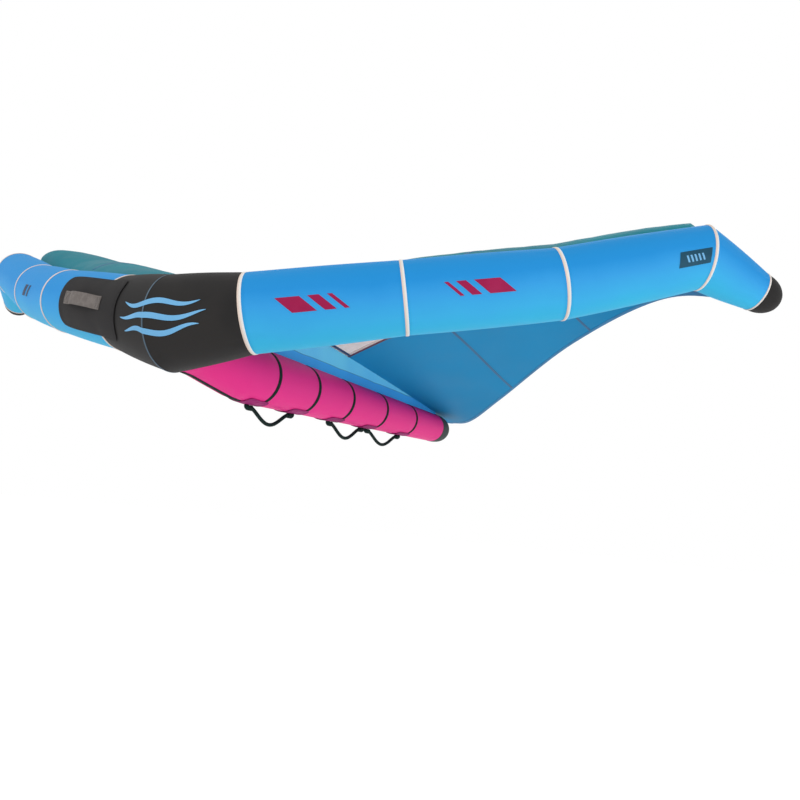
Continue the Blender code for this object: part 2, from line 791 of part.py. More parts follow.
def handles():
    names = ("front_handle", "middle_handle", "rear_handle")
    spans = [handle_span(number) for number in range(len(names))]
    starts, ends = [], []
    for name, span in zip(names, spans):
        handle(name, span)
        start, end, along = pivot_line(span)
        inset = 0.5 * (PIVOT_LENGTH - SLEEVE_LENGTH)
        starts.append((start + along * inset, along))
        ends.append((end - along * (PIVOT_LENGTH - inset), along))
    handle_patch("front_handle_patch", spans[0][0], [starts[0]])
    handle_patch("second_handle_patch", spans[0][1], [ends[0]])
    handle_patch("middle_handle_patch", spans[1][0], [starts[1]])
    shared = 0.5 * (spans[1][1] + spans[2][0])
    handle_patch("shared_handle_patch", shared, [ends[1], starts[2]])
    handle_patch("rear_handle_patch", spans[2][1], [ends[2]])


def spine_webbing():
    """The dark webbing sewn along the strut's underside, ahead of the front handle."""
    start = STRUT_LENGTH * SPINE_START_SHARE
    end = handle_span(0)[0] - 0.5 * PATCH_LENGTH - SEAM_GAP
    rows = []
    for place in strut_places(start, end):
        half = 0.5 * SPINE_WIDTH / strut_frame(place)[1]
        angles = spread(-0.5 * math.pi - half, -0.5 * math.pi + half, SPINE_COLUMNS)
        lift = SEAM_GAP + SPINE_THICKNESS
        rows.append([strut_point(place, a, lift) for a in angles])
    mesh = grid_mesh("spine_webbing", rows, flip=True)
    spine = make_object("spine_webbing", mesh, dark_webbing, parts)
    solidify(spine, SPINE_THICKNESS, -1)
    cut(spine, edge_cutter)


# Grab strap on the leading edge


def strap_patch():
    lift = 2 * SEAM_GAP + TAPE_THICKNESS + STRAP_PATCH_THICKNESS
    angles = side_angles(*STRAP_PATCH_SIDES, EDGE_SIDES)
    start, end = STRAP_PATCH_SHARES
    rows = [
        [edge_point(position, -1, a, lift) for a in angles]
        for position in (start, 0.5 * (start + 1), 1.0, 0.5 * (1 + end), end)
    ]
    mesh = grid_mesh("strap_patch", rows, flip=True)
    solidify(make_object("strap_patch", mesh, black_cloth, parts), STRAP_PATCH_THICKNESS, -1)


def strap():
    """A flat webbing strap, sewn down at its ends and standing proud between them."""
    start, end = STRAP_SHARES
    base = 2 * SEAM_GAP + TAPE_THICKNESS + STRAP_PATCH_THICKNESS + SEAM_GAP
    rows = []
    for share in spread(0.0, 1.0, STRAP_STEPS):
        position = start + (end - start) * share
        inner = (share - STRAP_FLAT_SHARE) / (1 - 2 * STRAP_FLAT_SHARE)
        rise = max(math.sin(math.pi * min(max(inner, 0.0), 1.0)), 0.0) ** STRAP_POWER
        lift = base + STRAP_THICKNESS + STRAP_PROUD * rise
        half = 0.5 * STRAP_WIDTH / (edge_frame(position, -1)[1] + lift)
        angles = spread(STRAP_ANGLE - half, STRAP_ANGLE + half, STRAP_COLUMNS)
        rows.append([edge_point(position, -1, a, lift) for a in angles])
    mesh = grid_mesh("grab_strap", rows, flip=True)
    solidify(make_object("grab_strap", mesh, grey_webbing, parts), STRAP_THICKNESS, -1)


# Inflation valves


def valve_base(name, corners, inside):
    """An empty in the middle of a tube's flat, +Z out of it and +X down it, towards the hinge."""
    low_near, high_near, low_far, high_far = corners
    middle = (low_near + high_near + low_far + high_far) / len(corners)
    normal = (high_far - low_near).cross(high_near - low_far).normalized()
    if normal.dot(middle - inside) < 0:
        normal = -normal
    across = normal.cross(low_near + low_far - high_near - high_far).normalized()
    base = make_object(name, None, None, parts)
    base.location = middle
    base.rotation_euler = Matrix((across.cross(normal), across, normal)).transposed().to_euler()
    return base


def turned(name, profile, finish, parent, closed):
    """A profile of radii and heights, from the top down its outside, turned about +Z."""
    mesh = bpy.data.meshes.new(name)
    build = bmesh.new()
    points = [build.verts.new((reach, 0, height)) for reach, height in profile]
    for start, end in zip(points, points[1:] + points[:1] if closed else points[1:]):
        build.edges.new((start, end))
    build.to_mesh(mesh)
    build.free()
    obj = make_object(name, mesh, finish, parts if finish else cutters, parent)
    screw = obj.modifiers.new("turned", "SCREW")
    screw.steps = screw.render_steps = VALVE_SIDES
    screw.use_merge_vertices = True
    screw.merge_threshold = WELD
    return obj


def box_mesh(name, size, middle):
    build = bmesh.new()
    bmesh.ops.create_cube(build, size=1)
    bmesh.ops.scale(build, vec=size, verts=build.verts)
    bmesh.ops.translate(build, vec=middle, verts=build.verts)
    mesh = bpy.data.meshes.new(name)
    build.to_mesh(mesh)
    build.free()
    return mesh


def hinge_rod(name, radius, length, parent):
    """A rod along the valve's hinge."""
    middle = Vector((HINGE_PLACE, -0.5 * length, HINGE_HEIGHT))
    axes = (Vector((1, 0, 0)), UP)
    ends = (middle, middle + Vector((0, length, 0)))
    rings = [circle(end, *axes, radius, PIN_SIDES) for end in ends]
    return as_cutter(name, capped_mesh(name, rings), parent)


def valve_body(name, base):
    """A turned neck and flange, with two lugs that hold the cap's hinge pin."""
    neck, top = VALVE_NECK_RADIUS, VALVE_NECK_HEIGHT
    bore = neck - VALVE_NECK_WALL
    profile = (
        (bore, top), (neck, top), (neck, FLANGE_TOP),
        (FLANGE_RADIUS, FLANGE_TOP), (FLANGE_RADIUS, VALVE_SEAT_GAP),
        (neck, VALVE_SEAT_GAP), (neck, -VALVE_DEPTH), (bore, -VALVE_DEPTH),
    )
    body = turned(f"{name}_body", profile, valve_plastic, base, closed=True)
    low = FLANGE_TOP - 0.5 * FLANGE_THICKNESS
    high = HINGE_HEIGHT + KNUCKLE_RADIUS
    size = (2 * KNUCKLE_RADIUS, LUG_THICKNESS, high - low)
    reach = 0.5 * KNUCKLE_LENGTH + VALVE_CLEARANCE + 0.5 * LUG_THICKNESS
    for word, side in SIDES.items():
        place = (HINGE_PLACE, side * reach, 0.5 * (low + high))
        join(body, as_cutter(f"{name}_lug_{word}", box_mesh(name, size, place), base))
    join(body, hinge_rod(f"{name}_pin", PIN_RADIUS, 2 * reach, base))
    return body


def valve_cap(name, base):
    """A cap over the neck, swinging on the pin; its own empty stands on the hinge's axis."""
    hinge = make_object(f"{name}_hinge", None, None, parts, base)
    hinge.location = (HINGE_PLACE, 0, HINGE_HEIGHT)
    under = VALVE_NECK_HEIGHT + SEAM_GAP
    top = under + VALVE_CAP_WALL
    inner, outer = VALVE_CAP_RADIUS - VALVE_CAP_WALL, VALVE_CAP_RADIUS
    low = top - VALVE_CAP_DEPTH
    profile = ((0, top), (outer, top), (outer, low), (inner, low), (inner, under), (0, under))
    cap = turned(f"{name}_cap", profile, valve_plastic, hinge, closed=False)
    cap.location = -hinge.location
    start = 0.5 * (inner + outer)
    size = (HINGE_PLACE - start, KNUCKLE_LENGTH, 2 * PIN_RADIUS)
    place = (0.5 * (start + HINGE_PLACE), 0, HINGE_HEIGHT)
    join(cap, as_cutter(f"{name}_arm", box_mesh(name, size, place), base))
    join(cap, hinge_rod(f"{name}_knuckle", KNUCKLE_RADIUS, KNUCKLE_LENGTH, base))
    bore = PIN_RADIUS + VALVE_CLEARANCE
    cut(cap, hinge_rod(f"{name}_bore", bore, KNUCKLE_LENGTH + CUT_OVERRUN, base))
    return cap


def valve_hole(name, base, *pieces):
    """The round hole that the neck passes through in its casing and its bladder."""
    reach = VALVE_NECK_RADIUS + VALVE_CLEARANCE
    low = -VALVE_DEPTH - CUT_OVERRUN
    profile = ((0, CUT_OVERRUN), (reach, CUT_OVERRUN), (reach, low), (0, low))
    hole = turned(f"{name}_hole", profile, None, base, closed=False)
    hole.hide_render = True
    hole.display_type = "WIRE"
    for piece in pieces:
        cut(piece, hole)


def flat_corners(point, places, side, sides):
    """Corners of one of a tube's flats, which the side counts from the tube's zero angle."""
    return [point(place, math.tau * turn / sides) for place in places for turn in side]


def valves():
    """Both valves face away from the wing's middle, on the middle of a flat of their tube."""
    def on_edge(place, angle):
        return edge_point(place, -1, angle)

    low = EDGE_VALVE_SIDE
    corners = flat_corners(on_edge, EDGE_VALVE_SHARES, (low, low + 1), EDGE_SIDES)
    edge = valve_base("edge_valve", corners, edge_frame(EDGE_VALVE_SHARES[0], -1)[0])
    high = STRUT_VALVE_SIDE
    places = [STRUT_LENGTH * share for share in STRUT_VALVE_SHARES]
    corners = flat_corners(strut_point, places, (high + 1, high), STRUT_SIDES)
    strut = valve_base("strut_valve", corners, strut_frame(places[0])[0])
    for name, base in (("edge_valve", edge), ("strut_valve", strut)):
        valve_body(name, base)
        valve_cap(name, base)
    pieces = bpy.data.objects
    valve_hole("edge_valve", edge, pieces["edge_centre_panel_left"], pieces["edge_bladder"])
    valve_hole("strut_valve", strut, pieces["strut_casing"], pieces["strut_bladder"])


def edge_cutter_mesh():
    """A solid plug of the leading edge, wide enough to trim the strut to it."""
    places = ((1.0, -1), (0.5, -1), (0.0, 1), (0.5, 1), (1.0, 1))
    return capped_mesh("edge_cutter", [edge_ring(p, side, SEAM_GAP) for p, side in places])


for old in list(bpy.data.objects):
    bpy.data.objects.remove(old)

parts, cutters = collections()
frame = bpy.data.objects.new("wing_frame", None)
parts.objects.link(frame)
GRIP_PLACE = 0.5 * sum(handle_span(0))
pivot_start, pivot_end, pivot_direction = pivot_line(handle_span(0))
GRIP_HEIGHT = 0.5 * (pivot_start.z + pivot_end.z) - (HANDLE_DROP - PIVOT_DROP)
frame.location = (0, -GRIP_PLACE, -GRIP_HEIGHT)

black_cloth = material("black_cloth", (0.028, 0.026, 0.026), 0.75)
blue_cloth = material("blue_cloth", (0.045, 0.34, 0.78), 0.62)
pink_cloth = material("pink_cloth", (0.72, 0.035, 0.24), 0.60)
white_tape = material("white_tape", (0.82, 0.80, 0.76), 0.60)
bladder_film = material("bladder_film", (0.75, 0.77, 0.80), 0.35)
dark_rubber = material("dark_rubber", (0.045, 0.055, 0.055), 0.70)
dark_webbing = material("dark_webbing", (0.008, 0.030, 0.026), 0.80)
grey_webbing = material("grey_webbing", (0.17, 0.15, 0.14), 0.80)
patch_cloth = material("patch_cloth", (0.42, 0.03, 0.20), 0.70)
blue_canopy = material("blue_canopy", (0.035, 0.22, 0.42), 0.60)
black_canopy = material("black_canopy", (0.05, 0.045, 0.04), 0.65)
web_cloth = material("web_cloth", (0.06, 0.34, 0.80), 0.60)
clear_film = material("clear_film", (0.70, 0.63, 0.60), 0.20)
valve_plastic = material("valve_plastic", (0.030, 0.032, 0.035), 0.45)

edge_cutter = as_cutter("edge_cutter", edge_cutter_mesh())
edge_panels()
seam_tapes()
tip_caps()
edge_bladder()
strut_casing()
strut_bladder()
strut_end_cap()
strut_bands()
canopy()
web()
handles()
spine_webbing()
strap_patch()
strap()
valves()
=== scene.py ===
# %% [markdown]
# # An inflatable wing for wing foiling
#
# The CAD model comes in as a fixed frame of stiff pieces. On the real wing nearly all of them are
# cloth: tubes sewn from Dacron and pumped tight, a canopy of ripstop, strips of webbing and clear
# film. This lesson lays finer cloth over that frame, panel by panel, and then weaves, sews and
# lights it.

# %% Load the frame
import math

import bpy
import numpy as np
from mathutils import Matrix, Vector


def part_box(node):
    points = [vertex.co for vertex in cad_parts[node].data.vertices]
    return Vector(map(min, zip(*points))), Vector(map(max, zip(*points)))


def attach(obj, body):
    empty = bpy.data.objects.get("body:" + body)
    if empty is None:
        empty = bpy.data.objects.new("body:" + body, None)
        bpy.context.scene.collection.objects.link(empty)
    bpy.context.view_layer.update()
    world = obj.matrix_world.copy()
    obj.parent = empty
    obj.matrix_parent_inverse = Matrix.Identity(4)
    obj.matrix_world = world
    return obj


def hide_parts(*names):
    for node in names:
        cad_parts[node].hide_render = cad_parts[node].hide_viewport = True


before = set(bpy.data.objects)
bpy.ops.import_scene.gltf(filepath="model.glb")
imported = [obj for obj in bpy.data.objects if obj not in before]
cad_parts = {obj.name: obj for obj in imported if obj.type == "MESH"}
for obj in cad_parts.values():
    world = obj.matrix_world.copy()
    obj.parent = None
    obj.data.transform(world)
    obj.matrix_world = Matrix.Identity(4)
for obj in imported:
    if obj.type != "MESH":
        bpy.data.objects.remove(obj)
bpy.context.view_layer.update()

# %% [markdown]
# ## The camera
#
# The wing is photographed from low in front, near its nose, a little to the right of the middle.
# Matching its seams gave the place of the lens, its long side turn, and a slight roll.
# A camera's own axes are the columns of its matrix, so it can be placed without any tracking.

# %% Place the camera
FRAME_WIDTH = 800
FOCAL_PIXELS = 971
CENTRE_DROP = 14
SENSOR = 36
CAMERA_PLACE = Vector((1.649, -2.4785, -0.2186))
CAMERA_TURN, CAMERA_TILT, CAMERA_ROLL = (math.radians(a) for a in (26.0, 5.6, 5.4))

level = Vector((math.cos(CAMERA_TURN), math.sin(CAMERA_TURN), 0))
ahead = Vector((-math.sin(CAMERA_TURN), math.cos(CAMERA_TURN), 0))
sight = ahead * math.cos(CAMERA_TILT) + Vector((0, 0, math.sin(CAMERA_TILT)))
rise = level.cross(sight)
across = level * math.cos(CAMERA_ROLL) + rise * math.sin(CAMERA_ROLL)
upward = rise * math.cos(CAMERA_ROLL) - level * math.sin(CAMERA_ROLL)

lens = bpy.data.cameras.new("photo_lens")
lens.sensor_width = SENSOR
lens.lens = FOCAL_PIXELS / FRAME_WIDTH * SENSOR
lens.shift_y = CENTRE_DROP / FRAME_WIDTH
camera = bpy.data.objects.new("photo_camera", lens)
bpy.context.scene.collection.objects.link(camera)
axes = Matrix((across, upward, -sight)).transposed().to_4x4()
camera.matrix_world = Matrix.Translation(CAMERA_PLACE) @ axes
bpy.context.scene.camera = camera
print("the camera looks along", tuple(round(x, 3) for x in sight))

# %% [markdown]
# ## Paint by sums
#
# A finish is a small program: thread ridges, seams and colour drift are sums over the cloth's own
# coordinates. Wiring them node by node is slow to read, so one class wraps a socket and lets
# Python's operators add the Math nodes.

# %% A socket that can be used in sums
class Value:
    def __init__(self, finish, socket):
        self.finish, self.socket = finish, socket

    def math(self, operation, *others):
        return self.finish.node("ShaderNodeMath", {"operation": operation}, [self, *others])

    def __add__(self, other):
        return self.math("ADD", other)

    def __sub__(self, other):
        return self.math("SUBTRACT", other)

    def __rsub__(self, other):
        return self.finish.node("ShaderNodeMath", {"operation": "SUBTRACT"}, [other, self])

    def __mul__(self, other):
        return self.math("MULTIPLY", other)

    def __truediv__(self, other):
        return self.math("DIVIDE", other)

    def __gt__(self, limit):
        return self.math("GREATER_THAN", limit)

    def __lt__(self, limit):
        return self.math("LESS_THAN", limit)

    __radd__ = __add__
    __rmul__ = __mul__

    def size(self):
        return self.math("ABSOLUTE")

    def wave(self):
        return self.math("SINE")

    def fade(self, start, end):
        """0 at the start, 1 at the end, and smooth between them."""
        ends = {"From Min": start, "From Max": end}
        settings = {"interpolation_type": "SMOOTHSTEP"}
        return self.finish.node("ShaderNodeMapRange", settings, {"Value": self, **ends})


# %% A finish and its nodes
class Finish:
    def __init__(self, name, roughness):
        self.material = bpy.data.materials.new(name)
        self.material.use_nodes = True
        self.tree = self.material.node_tree
        self.shader = self.tree.nodes["Principled BSDF"]
        self.shader.inputs["Roughness"].default_value = roughness

    def node(self, kind, settings, inputs, output=0):
        """Adds a node, sets it and links or fills its sockets, by place or by name."""
        node = self.tree.nodes.new(kind)
        for key, value in settings.items():
            if key == "stops":
                self.set_stops(node.color_ramp.elements, value)
            else:
                setattr(node, key, value)
        pairs = inputs.items() if isinstance(inputs, dict) else enumerate(inputs)
        for key, value in pairs:
            if isinstance(value, Value):
                self.tree.links.new(value.socket, node.inputs[key])
            else:
                node.inputs[key].default_value = value
        return Value(self, node.outputs[output])

    def set_stops(self, elements, stops):
        """A ramp starts with two stops, so the rest are added and all are then set in order."""
        for place, _ in stops[2:]:
            elements.new(place)
        for element, (place, colour) in zip(elements, stops):
            element.position, element.color = place, colour

    def set(self, socket, value):
        """Gives the shader's own socket a value, or a link to one."""
        if isinstance(value, Value):
            self.tree.links.new(value.socket, self.shader.inputs[socket])
        else:
            self.shader.inputs[socket].default_value = value

    def lay(self, name):
        """Both coordinates of one of the piece's own UV maps, and the map itself."""
        sheet_map = self.node("ShaderNodeUVMap", {"uv_map": name}, [])
        first = self.node("ShaderNodeSeparateXYZ", {}, [sheet_map])
        return first, Value(self, first.socket.node.outputs[1]), sheet_map

    def spot(self):
        """The place in space, for what doesn't follow the threads."""
        return self.node("ShaderNodeTexCoord", {}, [], output=3)

    def noise(self, place, scale, detail=2.0, distortion=0.0):
        inputs = {"Vector": place, "Scale": scale, "Detail": detail, "Distortion": distortion}
        return self.node("ShaderNodeTexNoise", {}, inputs)

    def ramp(self, value, stops):
        return self.node("ShaderNodeValToRGB", {"stops": stops}, [value])

    def mix(self, share, first, second):
        """A colour between two, which keeps its hue."""
        settings = {"data_type": "RGBA"}
        return self.node("ShaderNodeMix", settings, {0: share, 6: first, 7: second}, output=2)

    def bump(self, height, distance, strength):
        inputs = {"Strength": strength, "Distance": distance, "Height": height}
        self.set("Normal", self.node("ShaderNodeBump", {}, inputs))


def linear(red, green, blue):
    """A screen colour in 0 to 255 as the linear colour that a shader takes."""
    shares = (c / 255 for c in (red, green, blue))
    return (*(s / 12.92 if s < 0.04045 else ((s + 0.055) / 1.055) ** 2.4 for s in shares), 1.0)


BLACK = (0.0, 0.0, 0.0, 1.0)
WHITE = (1.0, 1.0, 1.0, 1.0)
print("a mid grey of 128 is", round(linear(128, 128, 128)[0], 3), "to a shader")

# %% [markdown]
# ## Studio
#
# The product hangs over a pale floor in a white room. The floor and the room show white to the
# camera and in reflections, while the light that they give stays at a plain level, so that each
# colour renders about as it is written.

# %% Build the room
FLOOR_LEVEL, FLOOR_REACH = -1.15, 60
FLOOR_TONE, FLOOR_GLOW = (0.86, 0.86, 0.86, 1), 0.62
ROOM_LIGHT = 0.80


def seen(finish):
    """1 for what the camera, a reflection or clear film sees directly."""
    rays = finish.node("ShaderNodeLightPath", {}, [])
    camera_ray = Value(finish, rays.socket.node.outputs["Is Camera Ray"])
    glossy = Value(finish, rays.socket.node.outputs["Is Glossy Ray"])
    through = Value(finish, rays.socket.node.outputs["Is Transmission Ray"])
    return camera_ray.math("MAXIMUM", glossy).math("MAXIMUM", through)


class Room(Finish):
    def __init__(self, world):
        self.tree = world.node_tree
        self.shader = self.tree.nodes["Background"]


room = bpy.data.worlds.new("white_room")
bpy.context.scene.world = room
room.use_nodes = True
walls = Room(room)
walls.set("Color", WHITE)
walls.set("Strength", seen(walls) * (1 - ROOM_LIGHT) + ROOM_LIGHT)

bpy.ops.object.select_all(action="DESELECT")
bpy.ops.mesh.primitive_plane_add(size=FLOOR_REACH, location=(0, 0, FLOOR_LEVEL))
floor = bpy.context.object
floor.name = "studio_floor"
pale = Finish("pale_floor", 0.9)
pale.set("Base Color", FLOOR_TONE)
pale.set("Specular IOR Level", 0.0)
pale.set("Emission Color", pale.mix(seen(pale), BLACK, WHITE))
pale.set("Emission Strength", FLOOR_GLOW)
floor.data.materials.append(pale.material)

bpy.context.scene.view_settings.view_transform = "Standard"
print("the floor lies", -FLOOR_LEVEL, "m under the front grip")

# %% Hang the lamps
LAMPS = {
    "key_lamp": ((-1.6, -4.2, 2.6), (0.0, -0.1, 0.3), 3.0, 46),
    "fill_lamp": ((3.8, -1.2, -0.9), (0.2, 0.4, 0.2), 2.0, 40),
    "rim_lamp": ((0.5, 3.8, 2.8), (0.0, 0.3, 0.4), 2.4, 24),
}
for name, (place, target, width, power) in LAMPS.items():
    light = bpy.data.lights.new(name, "AREA")
    light.shape, light.size, light.energy = "SQUARE", width, power
    lamp = bpy.data.objects.new(name, light)
    bpy.context.scene.collection.objects.link(lamp)
    lamp.location = place
    lamp.rotation_euler = (Vector(target) - Vector(place)).to_track_quat("-Z", "Y").to_euler()
print(len(LAMPS), "lamps")

# %% [markdown]
# ## The wing's own lines
#
# Everything on the wing hangs on three lines: the axis of the leading edge, bent at its seams, the
# axis of the strut, and the trailing edge. The tables below hold them as the CAD does, so that
# cloth laid on them meets the frame. Distances count from the middle of the leading edge.

# %% The leading edge's line
HALF_SPAN, ROOT_CHORD, TIP_SWEEP, WING_RISE = 1.404, 1.90, 0.745, 0.305
EDGE_RADIUS, EDGE_HEIGHT = 0.128, 0.075
EDGE_SPAN_SHARES = (0.0, 0.140, 0.401, 0.644, 0.875, 0.968, 1.0)
EDGE_SWEEP_SHARES = (0.0, 0.075, 0.262, 0.535, 0.785, 0.945, 1.0)
EDGE_RISE_SHARES = (0.0, 0.129, 0.359, 0.628, 1.0, 0.790, 0.730)
EDGE_RADIUS_SHARES = (1.0, 0.828, 0.752, 0.738, 0.674, 0.421, 0.191)
BULGE_SHARE = 0.018
STRUT_END = 1.730
SIDES = {"left": -1, "right": 1}

cap_low, cap_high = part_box("strut_end_cap")
GRIP = np.array((0.0, STRUT_END - cap_low.y, -0.5 * (cap_low.z + cap_high.z)))


def unit(vector):
    return vector / np.linalg.norm(vector)


def mm(length):
    """Metres as millimetres, for what is printed."""
    return round(float(length) * 1000, 2)


def edge_station(number, side):
    """A bend of the tube's axis: the middle, the four seams, the cap seam and the tip."""
    return np.array(
        (
            side * HALF_SPAN * EDGE_SPAN_SHARES[number],
            TIP_SWEEP * EDGE_SWEEP_SHARES[number],
            EDGE_HEIGHT + WING_RISE * EDGE_RISE_SHARES[number],
        )
    )


def edge_direction(number, side):
    """Square to the seam's plane, which halves the bend."""
    if number == 0:
        return np.array((side, 0.0, 0.0))
    here = edge_station(number, side)
    inward = unit(here - edge_station(number - 1, side))
    if number == len(EDGE_SPAN_SHARES) - 1:
        return inward
    return unit(inward + unit(edge_station(number + 1, side) - here))


def edge_length(number):
    return float(np.linalg.norm(edge_station(number + 1, 1) - edge_station(number, 1)))


def edge_frame(position, side):
    """Centre, radius, back and up of the tube at a place counted in seams."""
    number = min(int(position), len(EDGE_SPAN_SHARES) - 2)
    share = position - number
    near, far = edge_station(number, side), edge_station(number + 1, side)
    first, second = edge_direction(number, side), edge_direction(number + 1, side)
    along = unit(first * (1 - share) + second * share)
    low, high = EDGE_RADIUS_SHARES[number : number + 2]
    radius = EDGE_RADIUS * (low + (high - low) * share)
    radius *= 1 + BULGE_SHARE * math.sin(math.pi * share)
    up = unit(np.array((0.0, 0.0, 1.0)) - along * along[2])
    return near * (1 - share) + far * share, radius, np.cross(up, along) * side, up


def edge_points(position, side, angles, lift=0.0):
    """Points round the tube; angle 0 is its back and a quarter turn its top."""
    centre, radius, back, up = edge_frame(position, side)
    reach = (radius + lift) * np.ones(len(angles))
    turned = np.cos(angles)[:, None] * back + np.sin(angles)[:, None] * up
    return centre + turned * reach[:, None] - GRIP


half_length = sum(edge_length(number) for number in range(len(EDGE_SPAN_SHARES) - 1))
print("each half of the leading edge is", round(half_length, 3), "m long")

# %% The strut's line
STRUT_SHARES = (0.0, 0.052, 0.104, 0.159, 0.214, 1.0)
STRUT_RADIUS, STRUT_LIFT = 0.086, 0.030
STRUT_RADIUS_SHARES = (0.814, 0.842, 0.907, 0.972, 1.0, 0.651)
STRUT_LIFT_SHARES = (1.0, 0.853, 0.50, 0.147, 0.0, 0.0)
BAND_SHARES = (0.231, 0.370, 0.509, 0.665, 0.821)
HANDLE_SHARES = ((0.214, 0.350), (0.491, 0.627), (0.650, 0.801))


def strut_centre(place):
    """Height of the strut's axis and its radius at a distance behind the leading edge."""
    share = np.asarray(place) / STRUT_END
    lift = STRUT_LIFT * np.interp(share, STRUT_SHARES, STRUT_LIFT_SHARES)
    return lift, STRUT_RADIUS * np.interp(share, STRUT_SHARES, STRUT_RADIUS_SHARES)


def strut_points(place, angles, lift=0.0):
    """Points round the strut; angle 0 is its right side and a quarter turn its top."""
    height, radius = strut_centre(place)
    reach = (radius + lift) * np.ones(len(angles))
    still = place * np.ones(len(angles))
    return np.stack([reach * np.cos(angles), still, height + reach * np.sin(angles)], 1) - GRIP


print("the front grip lies", round(GRIP[1], 4), "m behind the leading edge's axis")

# %% The canopy's lines
ATTACH_ANGLE, ATTACH_CLEARANCE = math.radians(50), 0.0026
TRAIL_SPAN_SHARES = (0.0, 0.093, 0.230, 0.484, 0.748, 0.958)
CHORD_SHARES = (1.0, 0.9156, 0.7523, 0.4952, 0.2452, 0.0615)
TRAIL_HEIGHT, TRAIL_RISE = 0.045, 0.350
TRAIL_RISE_SHARES = (0.0, 0.014, 0.239, 0.725, 0.990, 0.803)
CAMBER, CREST_POWER = 0.137, 0.6
CAMBER_SHARES = (0.361, 0.777, 1.0, 0.824, 0.608, 0.153)
NOSE_END, NOSE_SHARE, WINDOW_SHARES = 1.32, 0.12, (0.47, 0.485)
CANOPY_END = 4.97


def through(values, position):
    """A smooth curve through a table's values, which stand at 0, 1, 2 and so on."""
    last = len(values) - 1
    low = min(int(position), last - 1)
    share = position - low
    start, end = values[low], values[low + 1]
    before = values[low - 1] if low > 0 else start * 2 - end
    after = values[low + 2] if low + 2 <= last else end * 2 - start
    return 0.5 * (
        start * 2
        + (end - before) * share
        + (before * 2 - start * 5 + end * 4 - after) * share**2
        + (start * 3 - before - end * 3 + after) * share**3
    )


def canopy_points(position, shares, side):
    """Points from the leading edge's back to the trailing edge, at shares of the chord."""
    lead = edge_points(position, side, np.array([ATTACH_ANGLE]), ATTACH_CLEARANCE)[0] + GRIP
    if position == 0:
        lead[0] = 0.0
    trail = np.array(
        (
            side * HALF_SPAN * through(TRAIL_SPAN_SHARES, position),
            TIP_SWEEP * through(EDGE_SWEEP_SHARES[:-1], position)
            + ROOT_CHORD * through(CHORD_SHARES, position),
            TRAIL_HEIGHT + TRAIL_RISE * through(TRAIL_RISE_SHARES, position),
        )
    )
    shares = np.asarray(shares, float)[:, None]
    points = lead * (1 - shares) + trail * shares
    camber = CAMBER * through(CAMBER_SHARES, position)
    points[:, 2] += camber * np.sin(math.pi * np.clip(shares[:, 0], 0, 1) ** CREST_POWER)
    return points - GRIP


def window_end(position):
    """The share of the chord at the window's slanted rear edge."""
    near, far = WINDOW_SHARES
    return near + (far - near) * min(position / NOSE_END, 1.0)


middle_chord = float(np.ptp(canopy_points(0, [0, 1], 1)[:, 1]))
print("the canopy's chord in the middle is", round(middle_chord, 3), "m")

# %% [markdown]
# ## Laying cloth
#
# Each panel starts as what a sailmaker has: a flat grid of cloth. The grid primitive gives it, and
# then each of its vertices moves to its place on the wing, which is quicker and truer for a
# curved sail than pulling at it by hand. One UV map is kept in metres, so one weave fits every
# panel, and another counts shares of the panel, for what follows its edges. A tube is the same
# grid with two of its edges welded.

# %% Helpers for grids of cloth
WELD, SMOOTH_ANGLE = 0.00005, math.radians(40)


def select_only(piece):
    bpy.ops.object.select_all(action="DESELECT")
    piece.select_set(True)
    bpy.context.view_layer.objects.active = piece


def corners_of(piece):
    spots = np.empty(len(piece.data.vertices) * 3)
    piece.data.vertices.foreach_get("co", spots)
    return spots.reshape(-1, 3)


def edit_all(piece, step):
    """Runs one step in edit mode on the whole piece."""
    select_only(piece)
    bpy.ops.object.mode_set(mode="EDIT")
    bpy.ops.mesh.select_all(action="SELECT")
    step()
    bpy.ops.object.mode_set(mode="OBJECT")
    return piece


def merge(piece):
    """Welds points that lie together, as where a tube's edges meet, and turns faces outwards."""
    edit_all(piece, lambda: bpy.ops.mesh.remove_doubles(threshold=WELD))
    return edit_all(piece, lambda: bpy.ops.mesh.normals_make_consistent(inside=False))


def face_away(piece, inside):
    """Turns a sheet over if its faces look towards a point."""
    centres = np.array([face.center for face in piece.data.polygons]) - np.array(inside)
    normals = np.array([face.normal for face in piece.data.polygons])
    if (centres * normals).sum() < 0:
        edit_all(piece, bpy.ops.mesh.flip_normals)
    return piece


def write_map(piece, name, first, second):
    """Fills one of the piece's UV maps from a pair of values for each vertex."""
    layer = piece.data.uv_layers.get(name) or piece.data.uv_layers.new(name=name)
    corner = np.empty(len(piece.data.loops), int)
    piece.data.loops.foreach_get("vertex_index", corner)
    layer.data.foreach_set("uv", np.stack([first, second], 1)[corner].ravel())


